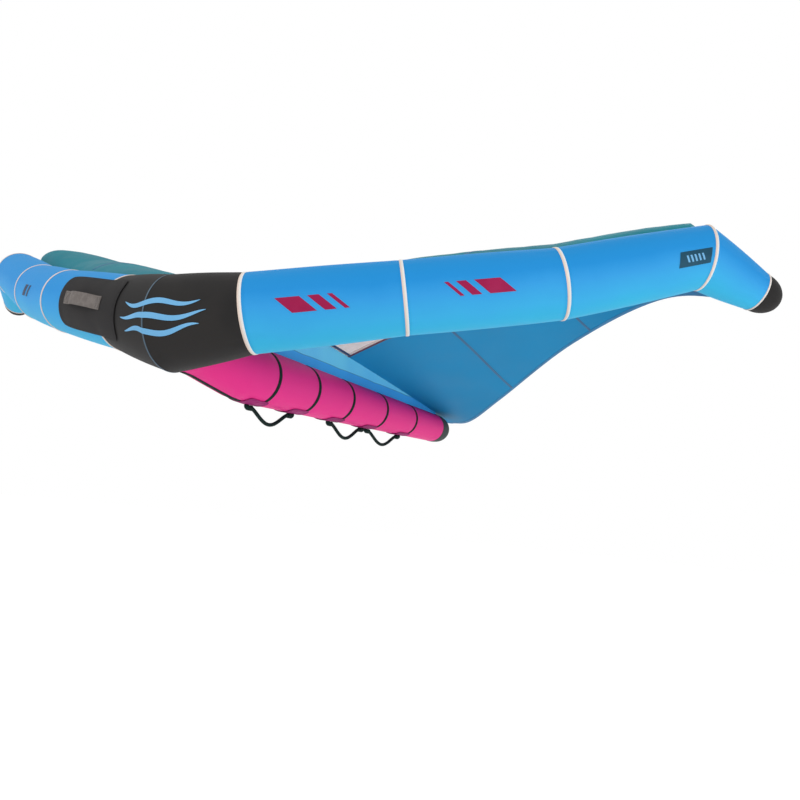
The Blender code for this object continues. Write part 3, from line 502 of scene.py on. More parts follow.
def lay_cloth(name, table, closed=False):
    """A grid with a vertex at each point of a table, by column and row, and its two UV maps."""
    table = np.asarray(table, float)
    columns, rows = table.shape[0] - 1, table.shape[1] - 1
    bpy.ops.object.select_all(action="DESELECT")
    bpy.ops.mesh.primitive_grid_add(x_subdivisions=columns, y_subdivisions=rows, size=2)
    piece = bpy.context.object
    piece.name = piece.data.name = name
    flat = corners_of(piece)[:, :2] * 0.5 + 0.5
    column = np.rint(flat[:, 0] * columns).astype(int)
    row = np.rint(flat[:, 1] * rows).astype(int)
    piece.data.vertices.foreach_set("co", table[column, row].ravel())
    steps = np.linalg.norm(np.diff(table, axis=0), axis=2).mean(axis=1)
    along = np.concatenate([[0.0], np.cumsum(steps)])
    hops = np.linalg.norm(np.diff(table, axis=1), axis=2)
    up = np.concatenate([np.zeros((columns + 1, 1)), np.cumsum(hops, axis=1)], axis=1)
    up -= 0.5 * up[:, -1:]
    piece.data.uv_layers[0].name = "cloth"
    write_map(piece, "cloth", along[column], up[column, row])
    write_map(piece, "panel", flat[:, 0], flat[:, 1])
    piece.data.update()
    if closed:
        merge(piece)
    return piece


def cut_area(piece):
    return float(sum(face.area for face in piece.data.polygons))


print("a weld joins points closer than", mm(WELD), "mm")

# %% Helpers that finish a piece
def apply_all(piece):
    select_only(piece)
    for modifier in list(piece.modifiers):
        bpy.ops.object.modifier_apply(modifier=modifier.name)
    return piece


def thicken(piece, thickness, offset=-1.0, under=0):
    """Gives cloth its thickness; under moves the lower face's material on by so many slots."""
    wall = piece.modifiers.new("thickness", "SOLIDIFY")
    wall.thickness, wall.offset = thickness, offset
    wall.use_even_offset = True
    wall.material_offset = under
    wall.material_offset_rim = under
    return apply_all(piece)


def rounded_edges(piece, width):
    edges = piece.modifiers.new("edges", "BEVEL")
    edges.width, edges.segments = width, 2
    return apply_all(piece)


def shade(piece):
    select_only(piece)
    bpy.ops.object.shade_smooth_by_angle(angle=SMOOTH_ANGLE)
    return piece


def finish_piece(piece, finish, body="wing", nodes=()):
    """Gives a piece its material, ties it to a body and hides the CAD pieces it stands for."""
    shade(piece)
    if not piece.data.materials:
        piece.data.materials.append(finish.material)
    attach(piece, body)
    if nodes:
        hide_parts(*nodes)
    return piece


def turn(start, end, steps):
    return np.radians(np.linspace(start, end, steps + 1))


print("helpers that thicken, shade and hand over a piece")

# %% [markdown]
# ## Woven finishes
#
# Casing cloth is a plain weave of flat polyester threads with a faint sheen, so it gets two
# crossed sets of ridges and a little drift in its colour. Canopy cloth is ripstop: a finer weave
# with a doubled thread every few millimetres. Both follow the UV map in metres, so they keep their
# size on every panel.

# %% Threads and cloth
THREAD = 0.0011


def weave(along, up, thread=THREAD):
    """The height of crossed threads, from 0 in the gaps to 1 on the crowns."""
    turns = math.tau / thread
    return ((along * turns).wave() * (up * turns).wave()) * 0.5 + 0.5


def grid_lines(along, up, pitch, share):
    """1 on the doubled threads of ripstop, which lie a pitch apart both ways."""
    turns = math.tau / pitch
    limit = math.cos(math.pi * share)
    across = (along * turns).wave() > limit
    return across.math("MAXIMUM", (up * turns).wave() > limit)


def cloth_finish(name, colour, light, rough, crease=0.35):
    """A woven cloth that drifts between two shades; crease is how much it puckers."""
    finish = Finish(name, rough)
    along, up, cloth = finish.lay("cloth")
    drift = finish.noise(finish.spot(), 5.0, 3.0)
    grain = finish.noise(cloth, 700.0, 2.0)
    tone = finish.mix(drift.fade(0.35, 0.68), colour, light)
    finish.set("Base Color", finish.mix(grain.fade(0.3, 0.7) * 0.12, tone, BLACK))
    folds = finish.noise(finish.spot(), 22.0, 3.0, 0.6)
    finish.bump(weave(along, up) * 0.10 + folds * crease, 0.0012, 0.5)
    finish.set("Sheen Weight", 0.02)
    finish.set("Specular IOR Level", 0.15)
    return finish


print("threads are", mm(THREAD), "mm apart")

# %% [markdown]
# ### Blue casing cloth
#
# The blue of the tubes isn't even: painted light from below makes it deeper over their tops and
# cyan underneath, and painted shade makes each panel a little more saturated close to its seams.
# The second UV map knows how far round the tube a point lies, so a ramp can follow that.

# %% Blue with painted light and shade round the tube
BLUE_PAINTED_LIGHT_TONES = (
    (0.0, linear(58, 192, 236)),
    (0.16, linear(62, 182, 238)),
    (0.42, linear(54, 162, 232)),
    (0.62, linear(34, 148, 222)),
    (1.0, linear(20, 146, 216)),
)
SEAM_PAINTED_SHADE = linear(12, 138, 206)

blue_cloth = Finish("blue_casing_cloth", 0.60)
along, up, cloth = blue_cloth.lay("cloth")
share, way_round, _ = blue_cloth.lay("panel")
height = (way_round * math.tau).wave() * 0.5 + 0.5
drift = blue_cloth.noise(blue_cloth.spot(), 6.0, 3.0)
# Painted light from below: the ramp runs from a light cyan under the tube to a deeper blue on top.
tone = blue_cloth.ramp(height + (drift - 0.5) * 0.22, BLUE_PAINTED_LIGHT_TONES)
# Painted shade: each panel turns deeper blue close to its seams, where it curves in.
from_seam = share.math("MINIMUM", 1 - share)
edge = 1 - (from_seam + (drift - 0.5) * 0.05).fade(0.02, 0.13)
tone = blue_cloth.mix(edge * 0.65, tone, SEAM_PAINTED_SHADE)
grain = blue_cloth.noise(cloth, 700.0, 2.0)
blue_cloth.set("Base Color", blue_cloth.mix(grain.fade(0.3, 0.7) * 0.07, tone, BLACK))
folds = blue_cloth.noise(blue_cloth.spot(), 20.0, 3.0, 0.6)
blue_cloth.bump(weave(along, up) * 0.10 + folds * 0.30, 0.0012, 0.5)
blue_cloth.set("Roughness", grain.fade(0.2, 0.8) * 0.08 + 0.56)
blue_cloth.set("Specular IOR Level", 0.15)
print("the blue runs through", len(BLUE_PAINTED_LIGHT_TONES), "tones from the tube's bottom to its top")

# %% Black cloth for the middle
black_cloth = cloth_finish("black_casing_cloth", linear(38, 37, 37), linear(46, 44, 43), 0.72)
print("the middle of the leading edge is", black_cloth.material.name)

# %% [markdown]
# ## The leading edge
#
# Each panel is a tube of cloth cut as a flat strip, so it runs straight between two seams, swells
# a little in its middle and puckers where the seam gathers it. The seams lie in planes that halve
# each bend, as on the CAD frame, and their slant makes the flat strip longer than the tube's axis.
# Prints and the canopy's edge use the same puckered surface, so nothing floats over it or sinks in.

# %% Sew the tube's panels
EDGE_STEPS, PANEL_STEPS = 96, 36
CASING_WALL, PUCKER, PUCKER_REACH = 0.0012, 0.0009, 0.040
SEAM_FLAT, SEAM_TRIM, SEAM_SLANT = 0.006, 0.00015, 1.15
PANELS = ("centre", "inner", "middle", "outer", "tip")
GATHERS = ((13, 1.7, 2.0), (22, 2.9, 2.4), (37, 4.3, 3.2))


def pucker(angles, distance, seed):
    """Small gathers that run out from a seam and die away; the seam itself lies flat."""
    waves = sum(np.sin(angles * count + seed * shift) / weight for count, shift, weight in GATHERS)
    flat = np.clip(distance / SEAM_FLAT - 1, 0, 1)
    return PUCKER * waves * np.exp(-distance / PUCKER_REACH) * flat


def gathers(position, side, angles):
    """How far the puckered cloth stands off its plain tube."""
    number = min(int(position), len(PANELS) - 1)
    share = min(position - number, 1.0)
    length = edge_length(number)
    lift = pucker(angles, (1 - share) * length, number + 1 + 0.3 * side)
    if number > 0:
        lift = lift + pucker(angles, share * length, number + 0.3 * side)
    return lift


def tube_skin(position, side, angles, lift=0.0):
    """Points on the leading edge's cloth, or standing off it by a lift."""
    angles = np.asarray(angles, float)
    return edge_points(position, side, angles, gathers(position, side, angles) + lift)


def eased(steps):
    """Shares from 0 to 1 that crowd towards both ends."""
    return 0.5 - 0.5 * np.cos(np.linspace(0, math.pi, steps + 1))


def panel_piece(number, name, word, side):
    trim = SEAM_TRIM / edge_length(number)
    places = number + trim + eased(PANEL_STEPS) * (1 - 2 * trim)
    angles = turn(180, -180, EDGE_STEPS)
    table = [tube_skin(place, side, angles) for place in places]
    panel = lay_cloth(f"edge_cloth_{name}_{word}", table, closed=True)
    area = cut_area(panel)
    thicken(panel, CASING_WALL)
    centre = number == 0
    cloth = black_cloth if centre else blue_cloth
    finish_piece(panel, cloth, nodes=[f"edge_{name}_panel_{word}"])
    around = math.tau * edge_frame(number + 0.5, side)[1]
    flat = (around, edge_length(number) * SEAM_SLANT)
    min(area, flat[0] * flat[1])
    return panel


edge_cloth = {}
for word, side in SIDES.items():
    for number, name in enumerate(PANELS):
        edge_cloth[name, word] = panel_piece(number, name, word, side)
print("ten panels of casing cloth, each", EDGE_STEPS, "by", PANEL_STEPS, "faces")

# %% [markdown]
# ### Seam tapes
#
# A white tape covers each seam. It is held at both edges, so its middle stands a little proud,
# and painted shade turns it cream towards one edge. Its stitches are a zigzag: a wave along the
# tape compared with the distance from its middle.

# %% Sew the tapes
TAPE_WIDTH, TAPE_HEIGHT, TAPE_GAP, TAPE_STEPS = 0.0095, 0.0013, 0.0004, 8
ZIGZAG_PITCH, ZIGZAG_REACH, ZIGZAG_THREAD = 0.0035, 0.0030, 0.0005

tape = Finish("white_seam_tape", 0.55)
along, up, cloth = tape.lay("cloth")
share, _, _ = tape.lay("panel")
swing = (up * (math.tau / ZIGZAG_PITCH)).wave() * ZIGZAG_REACH
sewn = (along - 0.5 * TAPE_WIDTH - swing).size() < ZIGZAG_THREAD
grain = tape.noise(cloth, 900.0)
# Painted shade: the tape is cream towards one edge and white towards the other.
tone = tape.mix(share.fade(0.15, 0.85), linear(236, 216, 202), linear(246, 244, 240))
tone = tape.mix(grain.fade(0.3, 0.7) * 0.06, tone, BLACK)
tape.set("Base Color", tape.mix(sewn * 0.22, tone, linear(150, 150, 152)))
tape.set("Specular IOR Level", 0.2)
tape.bump(weave(along, up, 0.0007) * 0.4 + sewn, 0.0005, 0.4)


def tape_piece(number, word, side):
    before = 0.5 * TAPE_WIDTH / edge_length(number - 1)
    after = 0.5 * TAPE_WIDTH / edge_length(number)
    last = number == len(PANELS)
    angles = turn(180, -180, EDGE_STEPS)
    table = []
    for share in np.linspace(-1, 0 if last else 1, TAPE_STEPS + 1):
        place = number + share * (before if share < 0 else after)
        table.append(edge_points(place, side, angles, TAPE_GAP + TAPE_HEIGHT * (1 - share**4)))
    piece = lay_cloth(f"white_tape_{number}_{word}", table, closed=True)
    thicken(piece, TAPE_GAP)
    return finish_piece(piece, tape, nodes=[f"seam_tape_{number}_{word}"])


for word, side in SIDES.items():
    for number in range(1, len(PANELS) + 1):
        tape_piece(number, word, side)
print("ten tapes,", mm(TAPE_WIDTH), "mm wide")

# %% [markdown]
# ### Tip caps
#
# The tube ends in a dome of black cloth at each tip. It is a fan of rings that shrink towards a
# pole, and all the points of the last ring are welded into one.

# %% Close the tips
CAP_LENGTH, CAP_STEPS, CAP_BLUNT = 0.070, 18, 0.9
CAP_RIDGES, CAP_RIDGE_SHARE = 9, 0.004


def dome(name, centre, ahead, radius, angles, sides, shape, ridge_share=0.0):
    """Rings from a tube's end to a pole; its shape is a length, a ring count and a bluntness."""
    length, steps, blunt = shape
    around = np.cos(angles)[:, None] * sides[0] + np.sin(angles)[:, None] * sides[1]
    table = []
    for lean in np.linspace(0, 0.5 * math.pi, steps + 1):
        reach = radius * max(math.cos(lean), 0.0) ** blunt
        ridge = 1 + ridge_share * np.sin(angles * CAP_RIDGES)[:, None] * math.sin(2 * lean)
        middle = centre + ahead * length * math.sin(lean)
        table.append(middle + around * reach * ridge - GRIP)
    return thicken(lay_cloth(name, table, closed=True), CASING_WALL)


def tip_piece(word, side):
    last = len(PANELS)
    centre, radius, back, up = edge_frame(last + SEAM_TRIM / edge_length(last), side)
    ahead = unit(edge_station(last + 1, side) - edge_station(last, side))
    angles = turn(180, -180, EDGE_STEPS)
    shape = (CAP_LENGTH, CAP_STEPS, CAP_BLUNT)
    name = f"tip_dome_{word}"
    piece = dome(name, centre, ahead, radius, angles, (back, up), shape, CAP_RIDGE_SHARE)
    return finish_piece(piece, black_cloth, nodes=[f"tip_cap_{word}"])


for word, side in SIDES.items():
    tip_piece(word, side)
print("each tip dome reaches", mm(CAP_LENGTH), "mm past its seam")

# %% [markdown]
# ## The strut
#
# The pink strut is a long, tapering tube. Five dark bands hold it in, so it swells a little
# between them. Its nose is cut to the leading edge: each line along the tube starts where it
# leaves the leading edge's surface, and that place is found by halving a stretch again and again.

# %% Pink cloth
PINK_PAINTED_SHADE_TONES = (
    (0.0, linear(255, 52, 150)),
    (0.28, linear(248, 52, 146)),
    (0.60, linear(242, 50, 142)),
    (1.0, linear(198, 26, 122)),
)
strut_axis = -GRIP[2]

pink_cloth = Finish("pink_casing_cloth", 0.58)
along, up, cloth = pink_cloth.lay("cloth")
spot = pink_cloth.spot()
height = pink_cloth.node("ShaderNodeSeparateXYZ", {}, [spot], output=2) - strut_axis
drift = pink_cloth.noise(spot, 7.0, 3.0)
# Painted shade: the pink darkens towards the strut's top, under the canopy, and is brightest
# underneath.
level_share = (height / (2 * STRUT_RADIUS)) + 0.5 + (drift - 0.5) * 0.2
tone = pink_cloth.ramp(level_share, PINK_PAINTED_SHADE_TONES)
grain = pink_cloth.noise(cloth, 600.0, 2.0)
pink_cloth.set("Base Color", pink_cloth.mix(grain.fade(0.3, 0.7) * 0.12, tone, BLACK))
folds = pink_cloth.noise(spot, 20.0, 3.0, 0.6)
pink_cloth.bump(weave(along, up) * 0.10 + folds * 0.30, 0.0012, 0.5)
pink_cloth.set("Specular IOR Level", 0.15)
print("the pink darkens upwards through", len(PINK_PAINTED_SHADE_TONES), "tones")

# %% Sew the strut
STRUT_STEPS, STRUT_SIDES = 150, 72
WAIST, WAIST_REACH, NOSE_GAP = 0.0016, 0.030, 0.0012
BAND_PLACES = [STRUT_END * share for share in BAND_SHARES]


def waist(place):
    """How far the bands pull the strut in at a place."""
    return -WAIST * sum(np.exp(-(((place - band) / WAIST_REACH) ** 2)) for band in BAND_PLACES)


def strut_skin(place, angles, lift=0.0):
    return strut_points(place, np.asarray(angles, float), waist(place) + lift)


def nose_start(angle):
    """Where a line along the strut comes out of the leading edge."""
    low, high = 0.02, 0.30
    for _ in range(24):
        place = 0.5 * (low + high)
        spot = strut_skin(place, [angle])[0] + GRIP
        position = abs(spot[0]) / (HALF_SPAN * EDGE_SPAN_SHARES[1])
        centre, radius, _, _ = edge_frame(position, 1)
        away = math.hypot(spot[1] - centre[1], spot[2] - centre[2])
        low, high = (place, high) if away < radius + NOSE_GAP else (low, place)
    return high


def strut_table(lift, start_past=0.0, end=STRUT_END - SEAM_TRIM):
    angles = turn(90, -270, STRUT_SIDES)
    starts = np.array([nose_start(angle) + start_past for angle in angles])
    table = []
    for share in np.linspace(0, 1, STRUT_STEPS + 1):
        places = starts + (end - starts) * share
        table.append([strut_skin(place, [angle], lift)[0] for place, angle in zip(places, angles)])
    return table


strut = lay_cloth("strut_cloth", strut_table(0.0), closed=True)
thicken(strut, CASING_WALL)
finish_piece(strut, pink_cloth, nodes=["strut_casing"])

# %% [markdown]
# ### Webbing
#
# The bands, the spine and the handles are woven webbing. Its herringbone is two waves: one along
# the strap, shifted by the distance from its middle so that it leans one way on each half, and a
# finer one across it.

# %% Webbing finish
def webbing_finish(name, colour, light, pitch):
    finish = Finish(name, 0.8)
    along, up, _ = finish.lay("cloth")
    turns = math.tau / pitch
    ribs = ((along + up.size()) * turns).wave() * 0.5 + 0.5
    rows = (up * turns * 1.5).wave() * 0.5 + 0.5
    wear = finish.noise(finish.spot(), 60.0, 3.0).fade(0.35, 0.75)
    tone = finish.mix(wear * 0.7, colour, light)
    # Painted shade in the grooves between the ribs.
    tone = finish.mix((1 - ribs) * 0.35, tone, BLACK)
    finish.set("Base Color", tone)
    finish.bump(ribs * 0.7 + rows * 0.3, 0.0006, 0.6)
    finish.set("Specular IOR Level", 0.15)
    return finish


dark_webbing = webbing_finish("dark_green_webbing", linear(8, 34, 30), linear(18, 48, 43), 0.0024)
grey_webbing = webbing_finish("taupe_webbing", linear(124, 117, 113), linear(146, 139, 135), 0.0030)
print("two webbings:", dark_webbing.material.name, "and", grey_webbing.material.name)

# %% [markdown]
# ### Bands, end cap and spine
#
# Each band runs round the strut and stops either side of its top, where the web is sewn on. A
# sheet that follows the strut's own skin gives them, and the spine under the strut too. The end
# cap is the same fan of rings as the tip domes, blunter and in rubbery cloth, and its cloth laps
# forward over the pink.

# %% Sew the bands
BAND_WIDTH, BAND_HEIGHT, BAND_GAP, BAND_OPEN = 0.017, 0.0012, 0.0004, 15


def strut_sheet(name, node, places, angles, lift, thickness):
    """A strap lying on the strut, with a lift for each of its places and angles."""
    lift = np.broadcast_to(lift, (len(places), len(angles)))
    table = [strut_skin(place, angles, row) for place, row in zip(places, lift)]
    middle = 0.5 * (places[0] + places[-1])
    inside = np.array((0.0, middle, strut_centre(middle)[0])) - GRIP
    piece = thicken(face_away(lay_cloth(name, table), inside), thickness)
    return finish_piece(piece, dark_webbing, nodes=[node])


crown = BAND_GAP + BAND_HEIGHT * (1 - np.linspace(-1, 1, 7)[:, None] ** 4)
angles = turn(90 + BAND_OPEN, 450 - BAND_OPEN, 80)
for number, place in enumerate(BAND_PLACES, 1):
    places = place + np.linspace(-0.5, 0.5, 7) * BAND_WIDTH
    strut_sheet(f"dark_band_{number}", f"strut_band_{number}", places, angles, crown, BAND_GAP)
print(len(BAND_PLACES), "bands,", mm(BAND_WIDTH), "mm wide")

# %% Close the strut's end
END_LENGTH, END_STEPS, END_BLUNT, CAP_OVERLAP = 0.085, 20, 0.8, 0.034

rubber = Finish("dark_grey_rubbered_cloth", 0.68)
patchy = rubber.noise(rubber.spot(), 9.0, 2.0).fade(0.3, 0.7)
rubber.set("Base Color", rubber.mix(patchy, linear(50, 58, 58), linear(64, 71, 70)))
rubber.bump(rubber.noise(rubber.spot(), 420.0, 3.0), 0.0010, 0.35)
rubber.set("Specular IOR Level", 0.2)

lift_end, radius_end = strut_centre(STRUT_END)
angles = turn(90, -270, STRUT_SIDES)
centre = np.array((0.0, STRUT_END + SEAM_TRIM, lift_end))
back, sides = np.array((0.0, 1.0, 0.0)), np.array(((1.0, 0.0, 0.0), (0.0, 0.0, 1.0)))
shape = (END_LENGTH, END_STEPS, END_BLUNT)
end_dome = dome("strut_end_dome", centre, back, radius_end, angles, sides, shape)
finish_piece(end_dome, rubber, nodes=["strut_end_cap"])

places = STRUT_END + np.linspace(-CAP_OVERLAP, 0.0, 9)
lifts = BAND_HEIGHT * (1 - np.linspace(-1, 1, 9) ** 8)
ring = [strut_skin(place, angles, lift) for place, lift in zip(places, lifts)]
overlap = thicken(lay_cloth("end_cap_overlap", ring, closed=True), BAND_GAP)
finish_piece(overlap, rubber)
print("an end dome", mm(END_LENGTH), "mm long, lapping", mm(CAP_OVERLAP), "mm over the strut")

# %% Sew the spine
SPINE_WIDTH, SPINE_HEIGHT, SPINE_WALL = 0.018, 0.0018, 0.0012
PATCH_LENGTH, PATCH_REACH, PATCH_HEIGHT = 0.100, 30, 0.0032
spine_start = nose_start(-0.5 * math.pi) + 0.001
spine_end = STRUT_END * HANDLE_SHARES[0][0] - 0.5 * PATCH_LENGTH - SEAM_TRIM
places = np.linspace(spine_start, spine_end, 50)
half_angle = math.degrees(0.5 * SPINE_WIDTH / STRUT_RADIUS)
angles = turn(-90 - half_angle, -90 + half_angle, 6)
crown = 0.5 * SPINE_WALL + SPINE_HEIGHT * (1 - np.linspace(-1, 1, 7)[None, :] ** 6)
strut_sheet("spine_strip", "spine_webbing", places, angles, crown, SPINE_WALL)
print("the spine runs", round(spine_end - spine_start, 3), "m to the first patch")

# %% [markdown]
# ### Stitches
#
# Where a patch is seen close to, its stitches are real thread. One stitch is modelled from a small
# sphere pulled long, and its points are then copied along a line, all in one mesh.

# %% One stitch and its copies
STITCH_PITCH, STITCH_LIFT = 0.0048, 0.0001
STITCH_SIZE = (0.0017, 0.00045, 0.00035)

bpy.ops.object.select_all(action="DESELECT")
bpy.ops.mesh.primitive_uv_sphere_add(segments=6, ring_count=4, radius=1)
stitch = bpy.context.object
bpy.ops.transform.rotate(value=0.5 * math.pi, orient_axis="Y", center_override=(0, 0, 0))
bpy.ops.object.transform_apply(location=True, rotation=True, scale=True)
bpy.ops.transform.resize(value=STITCH_SIZE)
bpy.ops.object.transform_apply(location=True, rotation=True, scale=True)
stitch_points = corners_of(stitch)
stitch_faces = [tuple(face.vertices) for face in stitch.data.polygons]
bpy.data.objects.remove(stitch)

thread_finish = {}
for name, colour in (("dark", (26, 26, 27)), ("pink", (120, 20, 84))):
    thread = Finish(f"{name}_thread", 0.6)
    twist = thread.noise(thread.spot(), 1500.0, 1.0).fade(0.3, 0.7)
    thread.set("Base Color", thread.mix(twist * 0.4, linear(*colour), BLACK))
    thread_finish[name] = thread


def spaced(path):
    """Points a stitch's pitch apart along a path, and the way that it heads there."""
    path = np.asarray(path, float)
    hops = np.linalg.norm(np.diff(path, axis=0), axis=1)
    reach = np.concatenate([[0.0], np.cumsum(hops)])
    marks = np.arange(0.5 * STITCH_PITCH, reach[-1], STITCH_PITCH)
    spots = np.stack([np.interp(marks, reach, path[:, i]) for i in range(3)], 1)
    ahead = np.stack([np.interp(marks + 0.0005, reach, path[:, i]) for i in range(3)], 1)
    behind = np.stack([np.interp(marks - 0.0005, reach, path[:, i]) for i in range(3)], 1)
    return spots, ahead - behind


def sew(name, paths, inside, colour):
    """Stitches along paths on a piece; inside is a point that they face away from."""
    points, faces = [], []
    for path in paths:
        for spot, heading in zip(*spaced(path)):
            ahead = unit(heading)
            away = spot - inside
            across = unit(np.cross(away - ahead * (away @ ahead), ahead))
            turned = stitch_points @ np.stack([ahead, across, np.cross(ahead, across)])
            faces += [tuple(i + len(points) for i in face) for face in stitch_faces]
            points += list(turned + spot)
    mesh = bpy.data.meshes.new(name)
    mesh.from_pydata([tuple(point) for point in points], [], faces)
    piece = bpy.data.objects.new(name, mesh)
    bpy.context.scene.collection.objects.link(piece)
    return finish_piece(piece, thread_finish[colour])


print("a stitch has", len(stitch_faces), "faces")

# %% [markdown]
# ### Handle patches
#
# The strut is doubled with a darker patch wherever a handle is sewn on. A rectangle with sharp
# corners would peel, so the grid is drawn in a little towards its corners, which rounds them.

# %% Sew the patches
patch_cloth = cloth_finish("plum_patch_cloth", linear(150, 16, 100), linear(168, 26, 114), 0.66)
ROUNDING, PATCH_ROWS, PATCH_WALL = 0.07, (0.90, 0.80), 0.0014
PATCHES = {
    "front": HANDLE_SHARES[0][0],
    "second": HANDLE_SHARES[0][1],
    "middle": HANDLE_SHARES[1][0],
    "shared": 0.5 * (HANDLE_SHARES[1][1] + HANDLE_SHARES[2][0]),
    "rear": HANDLE_SHARES[2][1],
}


def rounded(steps):
    """A square grid from -1 to 1 each way whose corners are drawn in."""
    line = np.linspace(-1, 1, steps + 1)
    first, second = np.meshgrid(line, line, indexing="ij")
    return first * (1 - ROUNDING * second**8), second * (1 - ROUNDING * first**8)


def border(share, steps=24):
    """Points round such a grid, at a share of the way out to its edge."""
    side = np.linspace(-1, 1, steps + 1)
    loop = [(s, -1.0) for s in side] + [(1.0, s) for s in side[1:]]
    loop += [(s, 1.0) for s in side[-2::-1]] + [(-1.0, s) for s in side[-2::-1]]
    u, v = np.array(loop).T
    return share * u * (1 - ROUNDING * v**8), share * v * (1 - ROUNDING * u**8)


def strut_patch(name, place):
    def point(u, v, lift):
        angle = math.radians(-90 + PATCH_REACH * v)
        return strut_skin(place + 0.5 * PATCH_LENGTH * u, [angle], lift)[0]

    along, over = rounded(20)
    table = [[point(u, v, PATCH_HEIGHT) for u, v in zip(*row)] for row in zip(along, over)]
    inside = np.array((0.0, place, strut_centre(place)[0])) - GRIP
    piece = thicken(face_away(lay_cloth(f"{name}_patch_cloth", table), inside), PATCH_WALL)
    finish_piece(piece, patch_cloth, nodes=[f"{name}_handle_patch"])
    lift = PATCH_HEIGHT + STITCH_LIFT
    rows = [[point(u, v, lift) for u, v in zip(*border(s))] for s in PATCH_ROWS]
    sew(f"{name}_patch_stitches", rows, inside, "pink")


for name, share in PATCHES.items():
    strut_patch(name, STRUT_END * share)
print(len(PATCHES), "patches,", mm(PATCH_LENGTH), "mm long")

# %% [markdown]
# ## The handles
#
# Each handle is tubular webbing round a soft core. Its ends lie in sleeves under the patches and
# turn there, so the loop swings from side to side; the sleeves stay with the wing and the loop
# rides on its own body. A sleeve is of the dark webbing too, and tapers up into its patch.

# %% Hang the handles
HANDLE_RADIUS, HANDLE_DROP, HANDLE_POWER = 0.0058, 0.050, 1.3
PIVOT_DROP, PIVOT_LENGTH = 0.0108, 0.020
SLEEVE_BORE, SLEEVE_WALL, SLEEVE_LENGTH = 0.0064, 0.0017, 0.016
SLEEVE_TAPER, SLEEVE_RISE = 0.017, 0.0085
HANDLE_STEPS, HANDLE_SIDES, SLEEVE_SIDES = 90, 20, 24
POLE_STEP, BRAID_PITCH = 0.00001, 0.0042

cord_cloth = Finish("braided_handle_webbing", 0.78)
along, up, _ = cord_cloth.lay("cloth")
turns = math.tau / BRAID_PITCH
braid = ((along + up) * turns).wave() * ((along - up) * turns).wave() * 0.5 + 0.5
worn = cord_cloth.noise(cord_cloth.spot(), 50.0, 3.0).fade(0.4, 0.75)
tone = cord_cloth.mix(worn * 0.6, linear(10, 32, 29), linear(24, 50, 45))
# Painted shade in the hollows between the crowns of the braid.
cord_cloth.set("Base Color", cord_cloth.mix((1 - braid) * 0.4, tone, BLACK))
cord_cloth.bump(braid, 0.0006, 0.6)
cord_cloth.set("Specular IOR Level", 0.15)


def pivot_line(shares):
    """Start, heading, length and upward way of the line that a handle swings about."""
    bottom = [-0.5 * math.pi]
    start, end = (strut_points(STRUT_END * s, bottom, PIVOT_DROP)[0] for s in shares)
    length = float(np.linalg.norm(end - start))
    heading = (end - start) / length
    return start, heading, length, np.array((0.0, -heading[2], heading[1]))


def round_tube(name, path, radii, sides):
    """A tube round a path that lies in the plane of the strut, with closed ends."""
    path = np.asarray(path, float)
    headings = np.gradient(path, axis=0)
    across = np.array((1.0, 0.0, 0.0))
    angles = np.linspace(0, math.tau, sides + 1)
    table = []
    for spot, heading, radius in zip(path, headings, radii):
        normal = unit(np.cross(across, heading))
        ring = np.cos(angles)[:, None] * across + np.sin(angles)[:, None] * normal
        table.append(spot + ring * radius)
    return lay_cloth(name, table, closed=True)


def handle_path(shares):
    """The loop's middle line: straight in its sleeves and hanging between them."""
    start, heading, length, upward = pivot_line(shares)
    low = HANDLE_DROP - PIVOT_DROP
    inner = length - 2 * PIVOT_LENGTH
    places, drops = [-POLE_STEP, 0.0, 0.5 * PIVOT_LENGTH], [0.0, 0.0, 0.0]
    for share in np.linspace(0, 1, HANDLE_STEPS + 1):
        places.append(PIVOT_LENGTH + inner * share)
        drops.append(-low * max(math.sin(math.pi * share), 0.0) ** HANDLE_POWER)
    places += [length - 0.5 * PIVOT_LENGTH, length, length + POLE_STEP]
    drops += [0.0, 0.0, 0.0]
    return [start + heading * place + upward * drop for place, drop in zip(places, drops)]


def handle_piece(name, shares):
    path = handle_path(shares)
    radii = [0.0] + [HANDLE_RADIUS] * (len(path) - 2) + [0.0]
    loop = round_tube(f"{name}_loop", path, radii, HANDLE_SIDES)
    finish_piece(loop, cord_cloth, body=name, nodes=[name])


def sleeve_piece(name, shares, at_end):
    """A short bore open towards the loop, whose far end closes and rises to the patch."""
    start, heading, length, upward = pivot_line(shares)
    mouth, out = (start, -heading) if not at_end else (start + heading * length, heading)
    inset = 0.5 * (PIVOT_LENGTH - SLEEVE_LENGTH)
    mouth = mouth - out * (inset + SLEEVE_LENGTH)
    outer = SLEEVE_BORE + SLEEVE_WALL
    path, radii = [mouth], [SLEEVE_BORE]
    for share in np.linspace(0, 1, 9):
        path.append(mouth + out * ((SLEEVE_LENGTH + inset) * share + POLE_STEP))
        radii.append(outer)
    for share in np.linspace(0, 1, 13)[1:]:
        rise = SLEEVE_RISE * share**1.5
        path.append(mouth + out * (SLEEVE_LENGTH + inset + SLEEVE_TAPER * share) + upward * rise)
        radii.append(outer * math.sqrt(max(1 - share**2, 0.0)))
    sleeve = round_tube(name, path, radii, SLEEVE_SIDES)
    finish_piece(sleeve, dark_webbing)


for name, shares in zip(("front_handle", "middle_handle", "rear_handle"), HANDLE_SHARES):
    handle_piece(name, shares)
    sleeve_piece(f"{name}_sleeve_front", shares, False)
    sleeve_piece(f"{name}_sleeve_back", shares, True)
print("three loops on six sleeves")

# %% [markdown]
# ## The canopy
#
# The canopy is coated ripstop, stretched between the two tubes. Its front edge is sewn down onto
# the leading edge, and small wrinkles run back from there and die away. Its panels are sewn flat
# to each other, so one sheet with a finer grid serves, and the faces of the two windows are then
# taken out. Each face of the cloth has a colour of its own, above and below.

# %% Ripstop
CANOPY_THREAD, RIPSTOP_PITCH = 0.0007, 0.0052


